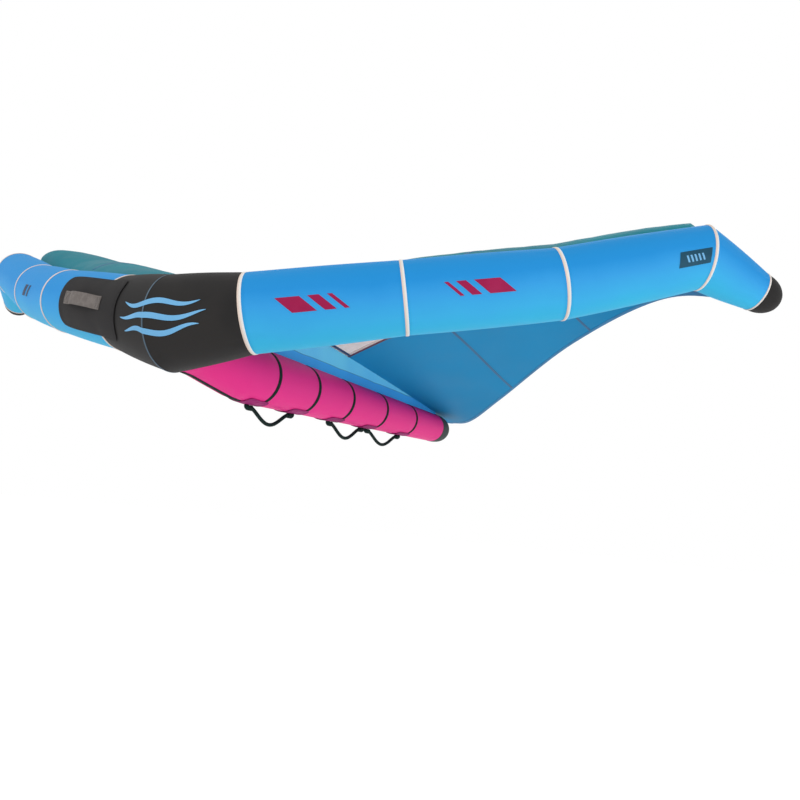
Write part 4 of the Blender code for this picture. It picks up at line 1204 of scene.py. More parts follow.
def ripstop_finish(name, colour, light):
    finish = Finish(name, 0.5)
    along, up, _ = finish.lay("cloth")
    drift = finish.noise(finish.spot(), 1.7, 4.0, 0.4).fade(0.32, 0.68)
    soft = finish.noise(finish.spot(), 6.0, 3.0).fade(0.3, 0.7)
    tone = finish.mix(drift * 0.8 + soft * 0.2, colour, light)
    grid = grid_lines(along, up, RIPSTOP_PITCH, 0.10)
    tone = finish.mix(grid * 0.16, tone, BLACK)
    finish.set("Base Color", tone)
    folds = finish.noise(finish.spot(), 12.0, 4.0, 0.8)
    finish.bump(weave(along, up, CANOPY_THREAD) * 0.06 + grid * 0.14 + folds * 0.5, 0.0012, 0.5)
    finish.set("Roughness", soft * 0.10 + 0.5)
    finish.set("Specular IOR Level", 0.08)
    return finish


teal_top = ripstop_finish("teal_canopy_top", linear(10, 118, 134), linear(18, 138, 152))
olive_top = ripstop_finish("olive_black_canopy_top", linear(50, 46, 37), linear(62, 56, 46))
blue_under = ripstop_finish("steel_blue_underside", linear(26, 138, 190), linear(36, 148, 202))
olive_under = ripstop_finish("olive_black_underside", linear(48, 46, 42), linear(58, 54, 48))
print("ripstop with a doubled thread every", mm(RIPSTOP_PITCH), "mm")

# %% Stretch the canopy
CANOPY_WALL, WRINKLE, WRINKLE_REACH, CUT_SPARE = 0.0009, 0.0007, 0.16, 1.05
WRINKLES = ((71, 1.3, 0, 1.0), (113, 0, 4, 0.7), (38, 0, 0, 0.5))
LUFF = ((60, 0.0002), (56, 0.0006), (53, 0.0015))
NOSE_ROWS, WINDOW_ROWS, REAR_ROWS = 8, 16, 44
COLUMN_PLACES = (0.0, NOSE_END, 2.0, 3.0, 4.0, CANOPY_END)
COLUMN_COUNTS = (24, 12, 18, 18, 14)
FAR_BELOW = (0.0, 0.5, -40.0)


def canopy_skin(position, shares, side, lift=0.0):
    """Points on the canopy with its wrinkles, or above it by a lift."""
    shares = np.asarray(shares, float)
    points = canopy_points(position, shares, side)
    inward = np.clip(shares, 0, 1)
    waves = np.zeros(len(points))
    for count, shift, lean, weight in WRINKLES:
        waves += weight * np.sin(points[:, 0] * count + shift + lean * inward)
    fades = np.exp(-inward / WRINKLE_REACH) * np.clip(inward / 0.02, 0, 1)
    points[:, 2] += WRINKLE * waves * fades + lift
    return points


def canopy_shares(position):
    """Where a column's points lie along the chord: the nose, the window's length and the rear."""
    end = window_end(position)
    nose = np.linspace(0, NOSE_SHARE, NOSE_ROWS + 1)
    window = np.linspace(NOSE_SHARE, end, WINDOW_ROWS + 1)[1:]
    return np.concatenate([nose, window, np.linspace(end, 1, REAR_ROWS + 1)[1:]])


def canopy_column(position, side):
    """One column of points, from the strip that is sewn onto the tube to the trailing edge."""
    luff = [tube_skin(position, side, [math.radians(a)], lift)[0] for a, lift in LUFF]
    return np.concatenate([luff, canopy_skin(position, canopy_shares(position), side)])


outward = [0.0]
for start, end, count in zip(COLUMN_PLACES, COLUMN_PLACES[1:], COLUMN_COUNTS):
    outward += list(np.linspace(start, end, count + 1)[1:])
spots = [(place, -1) for place in outward[:0:-1]] + [(place, 1) for place in outward]
canopy = lay_cloth("canopy_cloth", [canopy_column(*spot) for spot in spots])
face_away(canopy, FAR_BELOW)
corners = corners_of(canopy)
write_map(canopy, "cloth", corners[:, 0], corners[:, 1])
print("the canopy is laid in", len(spots), "columns")

# %% Take the windows out and give both faces their cloth
shares = np.empty(len(canopy.data.loops) * 2)
canopy.data.uv_layers["panel"].data.foreach_get("uv", shares)
middles = shares.reshape(-1, 4, 2).mean(axis=1)
columns = (middles[:, 0] * (len(spots) - 1)).astype(int)
nose_row = len(LUFF) + NOSE_ROWS
rows = (middles[:, 1] * (nose_row + WINDOW_ROWS + REAR_ROWS)).astype(int)
near = np.abs(columns - (len(outward) - 1) + 0.5) < COLUMN_COUNTS[0]
in_nose = near & (rows < nose_row)
in_window = near & (rows >= nose_row) & (rows < nose_row + WINDOW_ROWS)
for finish in (teal_top, olive_top, blue_under, olive_under):
    canopy.data.materials.append(finish.material)
canopy.data.polygons.foreach_set("material_index", in_nose.astype(int))

select_only(canopy)
bpy.ops.object.mode_set(mode="EDIT")
bpy.ops.mesh.select_all(action="DESELECT")
bpy.ops.object.mode_set(mode="OBJECT")
canopy.data.polygons.foreach_set("select", in_window)
bpy.ops.object.mode_set(mode="EDIT")
bpy.ops.mesh.select_mode(type="FACE")
bpy.ops.mesh.delete(type="FACE")
bpy.ops.object.mode_set(mode="OBJECT")
thicken(canopy, CANOPY_WALL, offset=0, under=2)

cloth_nodes = ["canopy_nose_panel"]
for word in SIDES:
    cloth_nodes += [f"canopy_{name}_panel_{word}" for name in ("inner", "middle", "outer")]
finish_piece(canopy, teal_top, nodes=cloth_nodes)

# %% [markdown]
# ### Windows
#
# A clear window lies either side of the middle, so that the rider sees through the wing. Film is
# stiffer than cloth and never quite flat, so it reflects in slow waves.

# %% Set the windows
WINDOW_COLUMNS, WINDOW_DEEP, WINDOW_START = 24, 20, 0.006
FILM_WALL, FILM_WAVE = 0.0005, 0.0006

film = Finish("clear_window_film", 0.16)
haze = film.noise(film.spot(), 16.0, 3.0).fade(0.35, 0.7)
film.set("Base Color", film.mix(haze, linear(214, 200, 196), linear(226, 216, 213)))
film.set("Alpha", haze * 0.10 + 0.42)
film.bump(film.noise(film.spot(), 5.0, 2.0, 0.5), 0.012, 0.35)
film.set("Coat Weight", 0.3)


def window_piece(word, side):
    table = []
    still_edges = np.sin(np.linspace(0, math.pi, WINDOW_DEEP + 1))
    for position in np.linspace(WINDOW_START, NOSE_END, WINDOW_COLUMNS + 1):
        shares = np.linspace(NOSE_SHARE, window_end(position), WINDOW_DEEP + 1)
        wave = FILM_WAVE * np.sin(shares * 40 + position * 3) * still_edges
        table.append(canopy_skin(position, shares, side, wave))
    piece = face_away(lay_cloth(f"clear_window_{word}", table), FAR_BELOW)
    thicken(piece, FILM_WALL, offset=0)
    return finish_piece(piece, film, nodes=[f"window_{word}"])


for word, side in SIDES.items():
    window_piece(word, side)
print("two windows of clear film")

# %% [markdown]
# ### Bindings, seams and hem
#
# The windows are bound in tape, and the canopy's panels meet in felled seams, where both edges are
# folded into each other and stitched twice; the seams run back at a slant. All of them are strips
# that straddle the sheet, so they show on both of its faces. The stitches are dashes in the finish.

# %% A strip along the canopy
STRIP_HEIGHT, DASH_PITCH, DASH_THREAD = 0.0028, 0.0034, 0.0004


def strip_finish(name, colour, light, reach):
    """Tape with a row of stitches at a reach either side of its middle."""
    finish = Finish(name, 0.6)
    along, up, cloth = finish.lay("cloth")
    rows = (up.size() - reach).size() < DASH_THREAD
    sewn = rows * ((along * (math.tau / DASH_PITCH)).wave() > -0.3)
    grain = finish.noise(cloth, 800.0).fade(0.3, 0.7)
    tone = finish.mix(finish.noise(finish.spot(), 9.0).fade(0.35, 0.65), colour, light)
    finish.set("Base Color", finish.mix(grain * 0.10 + sewn * 0.35, tone, BLACK))
    finish.bump(weave(along, up, 0.0008) * 0.3 + sewn, 0.0005, 0.5)
    return finish


seam_strip = strip_finish("blue_seam_strip", linear(26, 96, 140), linear(32, 106, 150), 0.0026)
hem_strip = strip_finish("blue_hem_strip", linear(34, 120, 168), linear(42, 132, 182), 0.0050)
navy_strip = strip_finish("navy_binding", linear(30, 52, 92), linear(36, 60, 104), 0.0028)
maroon_strip = strip_finish("maroon_binding", linear(84, 36, 56), linear(96, 44, 64), 0.0028)
cream_strip = strip_finish("cream_binding", linear(222, 204, 190), linear(232, 218, 206), 0.0018)
black_strip = strip_finish("black_binding", linear(34, 32, 31), linear(44, 41, 39), 0.0028)


def slope_along(position, share, side, across):
    """How steeply the canopy climbs in a sideways direction."""
    step = 0.004
    here = canopy_skin(position, [share], side)[0]
    behind = canopy_skin(position, [min(share + step, 1.0)], side)[0]
    if share + step > 1:
        behind = 2 * here - canopy_skin(position, [share - step], side)[0]
    beyond = canopy_skin(position + step, [share], side)[0]
    spans = np.array([(behind - here)[:2], (beyond - here)[:2]])
    climbs = np.array([(behind - here)[2], (beyond - here)[2]])
    slopes = np.linalg.solve(spans, climbs)
    return float(slopes @ across[:2])


def canopy_strip(name, marks, width, finish, height=STRIP_HEIGHT):
    """A strip that straddles the canopy along marks of position, share and side."""
    path = np.array([canopy_skin(position, [share], side)[0] for position, share, side in marks])
    heading = np.gradient(path, axis=0)
    heading /= np.linalg.norm(heading, axis=1)[:, None]
    sideways = np.cross((0.0, 0.0, 1.0), heading)
    sideways /= np.linalg.norm(sideways, axis=1)[:, None]
    table = []
    for spot, (position, share, side), across in zip(path, marks, sideways):
        slope = slope_along(position, share, side, across)
        steps = np.linspace(-0.5, 0.5, 5) * width
        table.append([spot + across * s + np.array((0, 0, s * slope)) for s in steps])
    strip = thicken(face_away(lay_cloth(name, table), FAR_BELOW), height, offset=0)
    return finish_piece(rounded_edges(strip, 0.25 * height), finish)


print("a strip stands", mm(0.5 * STRIP_HEIGHT), "mm off each face of the canopy")

# %% Sew the seams and bind the windows
SEAM_LINES = ((1.22, 0.987, 0.125), (2.356, 0.86, 0.02))
SEAM_WIDTH, SEAM_END = 0.009, 0.998
BINDING, SIDE_BINDING, SIDE_PLACE = 0.010, 0.009, 0.055
CREAM_WIDTH, CREAM_HEIGHT, CREAM_INSET = 0.005, 0.0020, 0.0085
SEAM_MARKS, MARKS = 70, 40
window_columns = np.linspace(0.0, NOSE_END, MARKS)
cream_columns = np.linspace(0.08, NOSE_END - 0.05, MARKS)
outer_shares = np.linspace(0.01, window_end(NOSE_END) + 0.004, MARKS)
middle_shares = np.linspace(NOSE_SHARE, window_end(0.0), MARKS)


def seam_pieces(word, side):
    for number, (place, slant, front) in enumerate(SEAM_LINES, 1):
        shares = np.linspace(front, SEAM_END, SEAM_MARKS)
        marks = [(place + slant * share, share, side) for share in shares]
        canopy_strip(f"canopy_seam_{number}_{word}", marks, SEAM_WIDTH, seam_strip)


def binding_pieces(word, side):
    rear = [(place, window_end(place), side) for place in window_columns]
    outer = [(NOSE_END, share, side) for share in outer_shares]
    middle = [(SIDE_PLACE, share, side) for share in middle_shares]
    front = [(place, NOSE_SHARE, side) for place in window_columns]
    cream = [(place, window_end(place) - CREAM_INSET, side) for place in cream_columns]
    canopy_strip(f"window_rear_binding_{word}", rear, BINDING, maroon_strip)
    canopy_strip(f"window_outer_binding_{word}", outer, SIDE_BINDING, navy_strip)
    canopy_strip(f"window_middle_binding_{word}", middle, SIDE_BINDING, navy_strip)
    canopy_strip(f"window_front_binding_{word}", front, BINDING, black_strip)
    canopy_strip(f"window_cream_edge_{word}", cream, CREAM_WIDTH, cream_strip, CREAM_HEIGHT)


for word, side in SIDES.items():
    seam_pieces(word, side)
    binding_pieces(word, side)
print("two seams, four bindings and a cream edge on each side")

# %% Fold the hem
HEM_WIDTH, HEM_TUCK, HEM_HEIGHT = 0.014, 0.006, 0.0030


def hem_piece(word, side):
    table = []
    for position in outward:
        edge, before = canopy_points(position, [1.0, 0.985], side)
        out = unit(edge - before)
        table.append([edge + out * step for step in np.linspace(-HEM_TUCK, HEM_WIDTH, 6)])
    piece = face_away(lay_cloth(f"trailing_hem_{word}", table), FAR_BELOW)
    rounded_edges(thicken(piece, HEM_HEIGHT, offset=0), 0.3 * HEM_HEIGHT)
    nodes = [f"trailing_edge_hem_{word}"]
    return finish_piece(piece, hem_strip, nodes=nodes)


for word, side in SIDES.items():
    hem_piece(word, side)
print("the hem reaches", mm(HEM_WIDTH), "mm past the cloth")

# %% [markdown]
# ### Web
#
# An upright web joins the strut's top to the middle of the canopy and passes the load between
# them. Its front follows the leading edge's curve. The grid is drawn between its bottom and top
# lines, and the bow of its front fades out towards the rear. Its edges are sunk a hair's breadth
# into the cloth they are sewn to, so that no light shows through.

# %% Find the web's outline
WEB_WALL, WEB_SUNK, WEB_STRIP = 0.0011, 0.0004, 0.035
WEB_COLUMNS, WEB_ROWS, WEB_LEAST, WEB_SPARE = 110, 24, 0.003, 0.02

WEB_SEARCH = (0.3, STRUT_END - 0.001)

middle_canopy = canopy_skin(0.0, np.linspace(0, 1, 400), 1) + GRIP


def canopy_height(y):
    """Height of the canopy's middle at a distance behind the leading edge's axis."""
    return np.interp(y, middle_canopy[:, 1], middle_canopy[:, 2])


def strut_top(y):
    lift, radius = strut_centre(y)
    return lift + radius + waist(y) - WEB_SUNK


def tube_back(ways):
    """Distance and height of the leading edge's back at angles round it."""
    reach = EDGE_RADIUS - WEB_SUNK
    return np.stack([reach * np.cos(ways), EDGE_HEIGHT + reach * np.sin(ways)], 1)


def under_canopy(y, z):
    return y > middle_canopy[0, 1] and z < canopy_height(y) - WEB_SUNK


ways = np.linspace(-0.5 * math.pi, 0.5 * math.pi, 900)
arc = tube_back(ways)
lowest = next(w for w, (y, z) in zip(ways, arc) if y > 0.02 and z > strut_top(y))
highest = max(w for w, (y, z) in zip(ways, arc) if under_canopy(y, z))
runs = np.linspace(*WEB_SEARCH, 800)
web_end = max(y for y in runs if canopy_height(y) - WEB_SUNK > strut_top(y) + WEB_LEAST)
print("the web ends", round(web_end, 3), "m behind the leading edge's axis")

# %% Sew the web
rise_shares = np.linspace(0, 1, WEB_ROWS + 1)[:, None]
front = tube_back(lowest + (highest - lowest) * rise_shares[:, 0])
bow = front - (front[0] * (1 - rise_shares) + front[-1] * rise_shares)
table = []
for share in np.linspace(0, 1, WEB_COLUMNS + 1):
    low_y = front[0, 0] + (web_end - front[0, 0]) * share
    high_y = front[-1, 0] + (web_end - front[-1, 0]) * share
    low = np.array((low_y, strut_top(low_y)))
    high = np.array((high_y, canopy_height(high_y) - WEB_SUNK))
    spots = low * (1 - rise_shares) + high * rise_shares + bow * (1 - share) ** 2
    table.append([(0.0, y, z) - GRIP for y, z in spots])
web = lay_cloth("web_cloth", table)
corners = corners_of(web) + GRIP
write_map(web, "cloth", corners[:, 1], corners[:, 2] - strut_top(corners[:, 1]))
thicken(web, WEB_WALL, offset=0)

# %% Colour the web
web_cloth = Finish("web_cloth_with_painted_light", 0.52)
along, up, _ = web_cloth.lay("cloth")
drift = web_cloth.noise(web_cloth.spot(), 4.0, 3.0).fade(0.35, 0.65)
# Painted light: both blues are lighter than the canopy cloth that the web is cut from, for the
# light that falls on it. The lowest strip, next to the strut, is the darker of the two.
upper = web_cloth.mix(drift, linear(96, 206, 255), linear(108, 216, 255))
lower = web_cloth.mix(drift, linear(32, 158, 234), linear(40, 168, 244))
tone = web_cloth.mix((up - WEB_STRIP) < 0, upper, lower)
grid = grid_lines(along, up, RIPSTOP_PITCH, 0.10)
lines = (up - WEB_STRIP).size() < 0.0012
web_cloth.set("Base Color", web_cloth.mix(grid * 0.12 + lines * 0.45, tone, BLACK))
folds = web_cloth.noise(web_cloth.spot(), 14.0, 4.0, 0.8)
web_cloth.bump(weave(along, up, CANOPY_THREAD) * 0.06 + grid * 0.14 + folds * 0.5, 0.0012, 0.5)
finish_piece(web, web_cloth, nodes=["web_panel"])
print("a darker strip runs", mm(WEB_STRIP), "mm up from the strut")

# %% [markdown]
# ## The grab strap
#
# On the left of the middle a black patch is glued and sewn over the tube, and a flat strap is
# stitched onto it in a box with a cross at each end. Between them the strap stands up far enough
# for a hand.

# %% Sew the strap and its patch
STRAP_PATCH_SHARES, STRAP_PATCH_ANGLES, STRAP_PATCH_LIFT = (0.55, 1.62), (135, 225), 0.0036
STRAP_SHARES, STRAP_WIDTH, STRAP_THICKNESS = (0.92, 1.52), 0.038, 0.0026
STRAP_PROUD, STRAP_ANGLE, STRAP_FLAT, STRAP_POWER = 0.020, math.radians(176), 0.16, 0.7
STRAP_STEPS, STRAP_EDGE, STRAP_LIFT, STRAP_ROWS = 60, 0.0008, 0.0002, (0.95, 0.91)

patch_black = cloth_finish("black_patch_cloth", linear(36, 35, 36), linear(46, 44, 44), 0.8, 0.3)


def strap_patch_point(u, v, lift):
    low, high = STRAP_PATCH_SHARES
    first, last = STRAP_PATCH_ANGLES
    place = 0.5 * (low + high) + 0.5 * (high - low) * u
    angle = math.radians(0.5 * (first + last) + 0.5 * (last - first) * v)
    return edge_points(place, -1, np.array([angle]), STRAP_PATCH_LIFT + lift)[0]


along, over = rounded(40)
table = [[strap_patch_point(u, v, 0.0) for u, v in zip(*row)] for row in zip(along, over)]
edge_middle = edge_frame(1.05, -1)[0] - GRIP
strap_base = thicken(face_away(lay_cloth("strap_patch_cloth", table), edge_middle), PATCH_WALL)
finish_piece(strap_base, patch_black, nodes=["strap_patch"])
rows = []
for share in STRAP_ROWS:
    rows.append([strap_patch_point(u, v, STRAP_LIFT) for u, v in zip(*border(share, 40))])
sew("strap_patch_stitches", rows, edge_middle, "dark")


def strap_point(share, across, lift=0.0):
    """A point on the strap; across runs from -1 to 1 over its width."""
    low, high = STRAP_SHARES
    place = low + (high - low) * share
    inner = (share - STRAP_FLAT) / (1 - 2 * STRAP_FLAT)
    rise = max(math.sin(math.pi * min(max(inner, 0.0), 1.0)), 0.0) ** STRAP_POWER
    stand = STRAP_PATCH_LIFT + STRAP_LIFT + STRAP_THICKNESS + STRAP_PROUD * rise + lift
    angle = STRAP_ANGLE + across * 0.5 * STRAP_WIDTH / (edge_frame(place, -1)[1] + stand)
    return edge_points(place, -1, np.array([angle]), stand)[0]


table = [
    [strap_point(share, across) for across in np.linspace(-1, 1, 9)]
    for share in np.linspace(0, 1, STRAP_STEPS + 1)
]
strap = thicken(face_away(lay_cloth("grab_strap_webbing", table), edge_middle), STRAP_THICKNESS)
rounded_edges(strap, STRAP_EDGE)
finish_piece(strap, grey_webbing, nodes=["grab_strap"])
print("the strap stands", mm(STRAP_PROUD), "mm proud")

# %% Stitch each end of the strap in a box with a cross
BOX_SHARES, BOX_REACH = ((0.02, 0.135), (0.865, 0.98)), 0.75
steps = np.linspace(0, 1, 12)[:, None]
boxes = []
for low, high in BOX_SHARES:
    first, second = np.array((low, -BOX_REACH)), np.array((high, -BOX_REACH))
    third, fourth = np.array((high, BOX_REACH)), np.array((low, BOX_REACH))
    turns = (first, second, third, fourth, first, third)
    for start, end in (*zip(turns, turns[1:]), (fourth, second)):
        line = start + (end - start) * steps
        boxes.append([strap_point(share, across, STRAP_LIFT) for share, across in line])
sew("strap_stitches", boxes, edge_middle, "dark")
print(len(boxes), "lines of stitches hold the strap")

# %% [markdown]
# ## Colours on the cloth
#
# The casing carries printed patches of colour: slanted bars on both halves, waves over the black
# middle, a small patch with ticks near the right tip. Each is a thin piece of film cut to shape
# and pressed onto the puckered cloth, so it creases with it. A blue-grey tape covers the seam
# between the two black panels.

# %% Cut and press the prints
PRINT_LIFT, PRINT_WALL = 0.0007, 0.0003


def print_finish(name, colour):
    finish = Finish(name, 0.5)
    along, up, cloth = finish.lay("cloth")
    grain = finish.noise(cloth, 650.0).fade(0.3, 0.7)
    worn = finish.noise(finish.spot(), 14.0, 4.0).fade(0.4, 0.8)
    tone = finish.mix(worn * 0.35, linear(*colour), linear(*(min(c + 26, 255) for c in colour)))
    finish.set("Base Color", finish.mix(grain * 0.08, tone, BLACK))
    finish.bump(weave(along, up) * 0.15 + worn * 0.1, 0.0008, 0.4)
    finish.set("Specular IOR Level", 0.15)
    return finish


crimson = print_finish("crimson_print", (160, 22, 76))
sky = print_finish("sky_blue_print", (117, 182, 228))
navy = print_finish("dark_blue_print", (24, 48, 84))
badge_teal = print_finish("dark_teal_print", (28, 75, 98))
seam_grey = print_finish("blue_grey_seam_tape", (84, 104, 120))
print("five print colours")


# %% Slanted bars
def press(name, table, finish):
    table = np.array(table)
    inside = table.reshape(-1, 3).mean(axis=0) + np.array((0.0, 0.5, 0.0))
    piece = face_away(lay_cloth(name, table), inside)
    thicken(piece, PRINT_WALL)
    return finish_piece(piece, finish)


def bar(name, side, place, width, slant, angles, finish, lift=PRINT_LIFT):
    """A slanted bar across the tube; its place and width count in seams."""
    ways = np.radians(np.linspace(*angles, 15))
    leans = np.linspace(-0.5, 0.5, 15) * slant
    table = [
        [tube_skin(place + step + lean, side, [way], lift)[0] for way, lean in zip(ways, leans)]
        for step in np.linspace(-0.5, 0.5, 9) * width
    ]
    return press(name, table, finish)


BARS = (
    (1, 1.34, 0.15, 0.10, (176, 198), crimson),
    (1, 1.50, 0.07, 0.10, (176, 198), crimson),
    (1, 1.60, 0.03, 0.10, (176, 198), crimson),
    (1, 2.30, 0.025, 0.09, (174, 196), crimson),
    (1, 2.39, 0.06, 0.09, (174, 196), crimson),
    (1, 2.55, 0.16, 0.09, (174, 196), crimson),
    (-1, 2.46, 0.05, 0.08, (168, 190), navy),
    (-1, 2.58, 0.09, 0.08, (168, 190), navy),
)
for number, (side, place, width, slant, angles, finish) in enumerate(BARS, 1):
    bar(f"slanted_bar_{number}", side, place, width, slant, angles, finish)
print(len(BARS), "slanted bars")

# %% Waves and the middle seam
WAVES = ((170, -0.36, 0.60, 0.0), (186, -0.42, 0.66, 1.1), (202, -0.34, 0.58, 2.2))
WAVE_SWING, WAVE_HALF_WIDTH, WAVE_LIFT = 3.6, 3.4, 0.0016
MIDDLE_TAPE = 0.018
for number, (middle, start, end, phase) in enumerate(WAVES, 1):
    table = []
    for share in np.linspace(0, 1, 49):
        place = start + (end - start) * share
        swing = middle + WAVE_SWING * math.sin(share * 3 * math.pi + phase)
        swell = math.sin(math.pi * min(max(share, 0.004), 0.996)) ** 0.6
        half_width = WAVE_HALF_WIDTH * swell
        ways = np.radians(swing + np.linspace(-1, 1, 7) * half_width)
        side = -1 if place < 0 else 1
        table.append(tube_skin(abs(place), side, ways, WAVE_LIFT))
    press(f"wave_{number}", table, sky)

angles = turn(180, -180, EDGE_STEPS)
ring = []
for place in np.linspace(-0.5, 0.5, 5) * MIDDLE_TAPE:
    ring.append(edge_points(abs(place), -1 if place < 0 else 1, angles, PRINT_LIFT))
centre_seam = thicken(lay_cloth("middle_seam_tape", ring, closed=True), PRINT_WALL)
finish_piece(centre_seam, seam_grey)
print(len(WAVES), "waves and a tape", mm(MIDDLE_TAPE * edge_length(0)), "mm wide")

# %% A patch with ticks
BADGE_LENGTH, BADGE_INSET, BADGE_LIFT = 0.085, 0.014, 0.0010
BADGE_ANGLES = (174, 200)
TICK_ANGLES, TICK_WIDTH, TICK_SLANT, TICK_LIFT = (181, 193), 0.012, 0.020, 0.0014
badge_share = BADGE_LENGTH / edge_length(3)
end = 4 - BADGE_INSET / edge_length(3)
middle = end - 0.5 * badge_share
bar("badge", 1, middle, badge_share, 0.0, BADGE_ANGLES, badge_teal, BADGE_LIFT)
for number, share in enumerate(np.linspace(0.26, 0.74, 5), 1):
    place = end - badge_share * (1 - share)
    name = f"badge_tick_{number}"
    bar(name, 1, place, TICK_WIDTH, TICK_SLANT, TICK_ANGLES, sky, TICK_LIFT)
print("a patch with five ticks")

# %% [markdown]
# ## Inside, and the valves
#
# A bladder of thin film holds the air in each tube, and a valve passes through both layers. A
# valve's neck with its flange, its cap and its hinge are turned: a profile goes round an axis. The
# cap swings on a pin between two lugs, which start as cubes. Both valves sit on the middle of a
# flat of their tube, as on the frame, and a cylinder drills the cloth and the film under them.

# %% Fill the tubes with their bladders
BLADDER_DEPTH, BLADDER_WALL, BLADDER_ENDS = 0.0035, 0.0004, (0.02, 4.95)

bladder_film = Finish("cloudy_bladder_film", 0.3)
cloud = bladder_film.noise(bladder_film.spot(), 8.0, 4.0).fade(0.3, 0.7)
tone = bladder_film.mix(cloud, linear(206, 208, 212), linear(222, 224, 228))
bladder_film.set("Base Color", tone)
bladder_film.set("Alpha", cloud * 0.15 + 0.6)
bladder_film.bump(cloud, 0.002, 0.4)


def pole(ring):
    return np.repeat(ring.mean(axis=0)[None], len(ring), axis=0)


def closed_tube(name, rings, node):
    """A tube of film that starts and ends in a point."""
    rings = [pole(rings[0]), *rings, pole(rings[-1])]
    piece = thicken(lay_cloth(name, rings, closed=True), BLADDER_WALL)
    return finish_piece(piece, bladder_film, nodes=[node])


places = np.linspace(*BLADDER_ENDS, 61)
angles = turn(180, -180, 48)
rings = [edge_points(p, -1, angles, -BLADDER_DEPTH) for p in places[::-1]]
rings += [edge_points(p, 1, angles, -BLADDER_DEPTH) for p in places]
edge_bladder = closed_tube("edge_bladder_film", rings, "edge_bladder")
rings = np.array(strut_table(-BLADDER_DEPTH, 0.030, STRUT_END - 0.010))[::3]
strut_bladder = closed_tube("strut_bladder_film", list(rings), "strut_bladder")
print("two bladders,", mm(BLADDER_WALL), "mm thick")

# %% The valves' sizes and plastic
NECK, NECK_WALL, NECK_HEIGHT, NECK_DEPTH = 0.0150, 0.0035, 0.0120, 0.0120
SEAT, FLANGE_TOP, HOLE_GAP = 0.0005, 0.0029, 0.0004
CAP_RADIUS, CAP_WALL, CAP_DEPTH, LID_GAP = 0.0195, 0.0022, 0.0085, 0.0003
CAP_BEVEL, CAP_BEVEL_STEP, HINGE_GAP, FLANGE_PAST = 0.0012, 0.0003, 0.0018, 0.0025
PIN, KNUCKLE, KNUCKLE_LENGTH, LUG, LUG_SUNK = 0.0020, 0.0042, 0.0100, 0.0030, 0.0012
HINGE_PLACE = CAP_RADIUS + HINGE_GAP + KNUCKLE
HINGE_HEIGHT = FLANGE_TOP + HOLE_GAP + KNUCKLE
FLANGE_RADIUS = HINGE_PLACE + FLANGE_PAST
RIBS, RIB_HEIGHT = 36, 0.00025
TURN_STEPS, SOFT_EDGE = 72, 0.0004

plastic = Finish("black_moulded_plastic", 0.42)
smear = plastic.noise(plastic.spot(), 30.0, 2.0).fade(0.3, 0.7)
plastic.set("Base Color", plastic.mix(smear, linear(38, 40, 42), linear(50, 52, 55)))
plastic.set("Roughness", smear * 0.14 + 0.36)
plastic.bump(plastic.noise(plastic.spot(), 260.0, 3.0), 0.0004, 0.25)
print("the flange is", mm(2 * FLANGE_RADIUS), "mm across")


# %% Turned pieces and blocks in a valve's own space
def valve_axes(corners, centre):
    """Middle of a flat of the tube, and axes down it, across it and out of it."""
    low_near, high_near, low_far, high_far = corners
    middle = sum(corners) / 4
    out = unit(np.cross(high_far - low_near, high_near - low_far))
    if out @ (middle - centre) < 0:
        out = -out
    across = unit(np.cross(out, low_near + low_far - high_near - high_far))
    return middle, np.array([np.cross(across, out), across, out])


def turned(name, profile, place, axes, body="wing", nodes=(), slot=None, ribs=0.0):
    """A profile of radius and height turned about an axis; ribs make its rim grippy."""
    radii, heights = np.array(profile).T
    rim = radii > CAP_RADIUS - SOFT_EDGE
    table = []
    for angle in np.linspace(0, math.tau, TURN_STEPS + 1):
        reach = radii - ribs * (1 + math.cos(angle * RIBS)) * rim
        spots = np.stack([reach * math.cos(angle), reach * math.sin(angle), heights], 1)
        table.append(place + spots @ axes)
    piece = lay_cloth(name, table, closed=True)
    return finish_piece(piece, plastic, body=body, nodes=nodes)


def softened(profile):
    """The closed profile with each corner cut back a little, so that edges catch the light."""
    points = np.array(profile)
    soft = []
    for before, here, after in zip(np.roll(points, 1, 0), points, np.roll(points, -1, 0)):
        back, on = unit(before - here) * SOFT_EDGE, unit(after - here) * SOFT_EDGE
        soft += [here + back, here + 0.3 * (back + on), here + on]
    return soft + soft[:1]


def block(name, low, high, place, axes, body):
    """A bevelled block between two corners of the valve's own space."""
    bpy.ops.object.select_all(action="DESELECT")
    bpy.ops.mesh.primitive_cube_add(size=2)
    piece = bpy.context.object
    piece.name = piece.data.name = name
    low, high = np.array(low), np.array(high)
    local = 0.5 * (low + high) + corners_of(piece) * 0.5 * (high - low)
    piece.data.vertices.foreach_set("co", (place + local @ axes).ravel())
    piece.data.uv_layers[0].name = "cloth"
    return finish_piece(rounded_edges(piece, SOFT_EDGE), plastic, body=body)


print("every moulded edge is softened by", mm(SOFT_EDGE), "mm")


# %% The neck with its flange, and the cap
def neck_piece(name, place, axes):
    bore = NECK - NECK_WALL
    barrel = [(NECK, NECK_HEIGHT), (bore, NECK_HEIGHT), (bore, -NECK_DEPTH), (NECK, -NECK_DEPTH)]
    flange = [(NECK, SEAT), (FLANGE_RADIUS, SEAT), (FLANGE_RADIUS, FLANGE_TOP), (NECK, FLANGE_TOP)]
    profile = softened(barrel + flange)
    turned(f"{name}_neck", profile, place, axes, nodes=[f"{name}_body"], slot="valve_plastic")


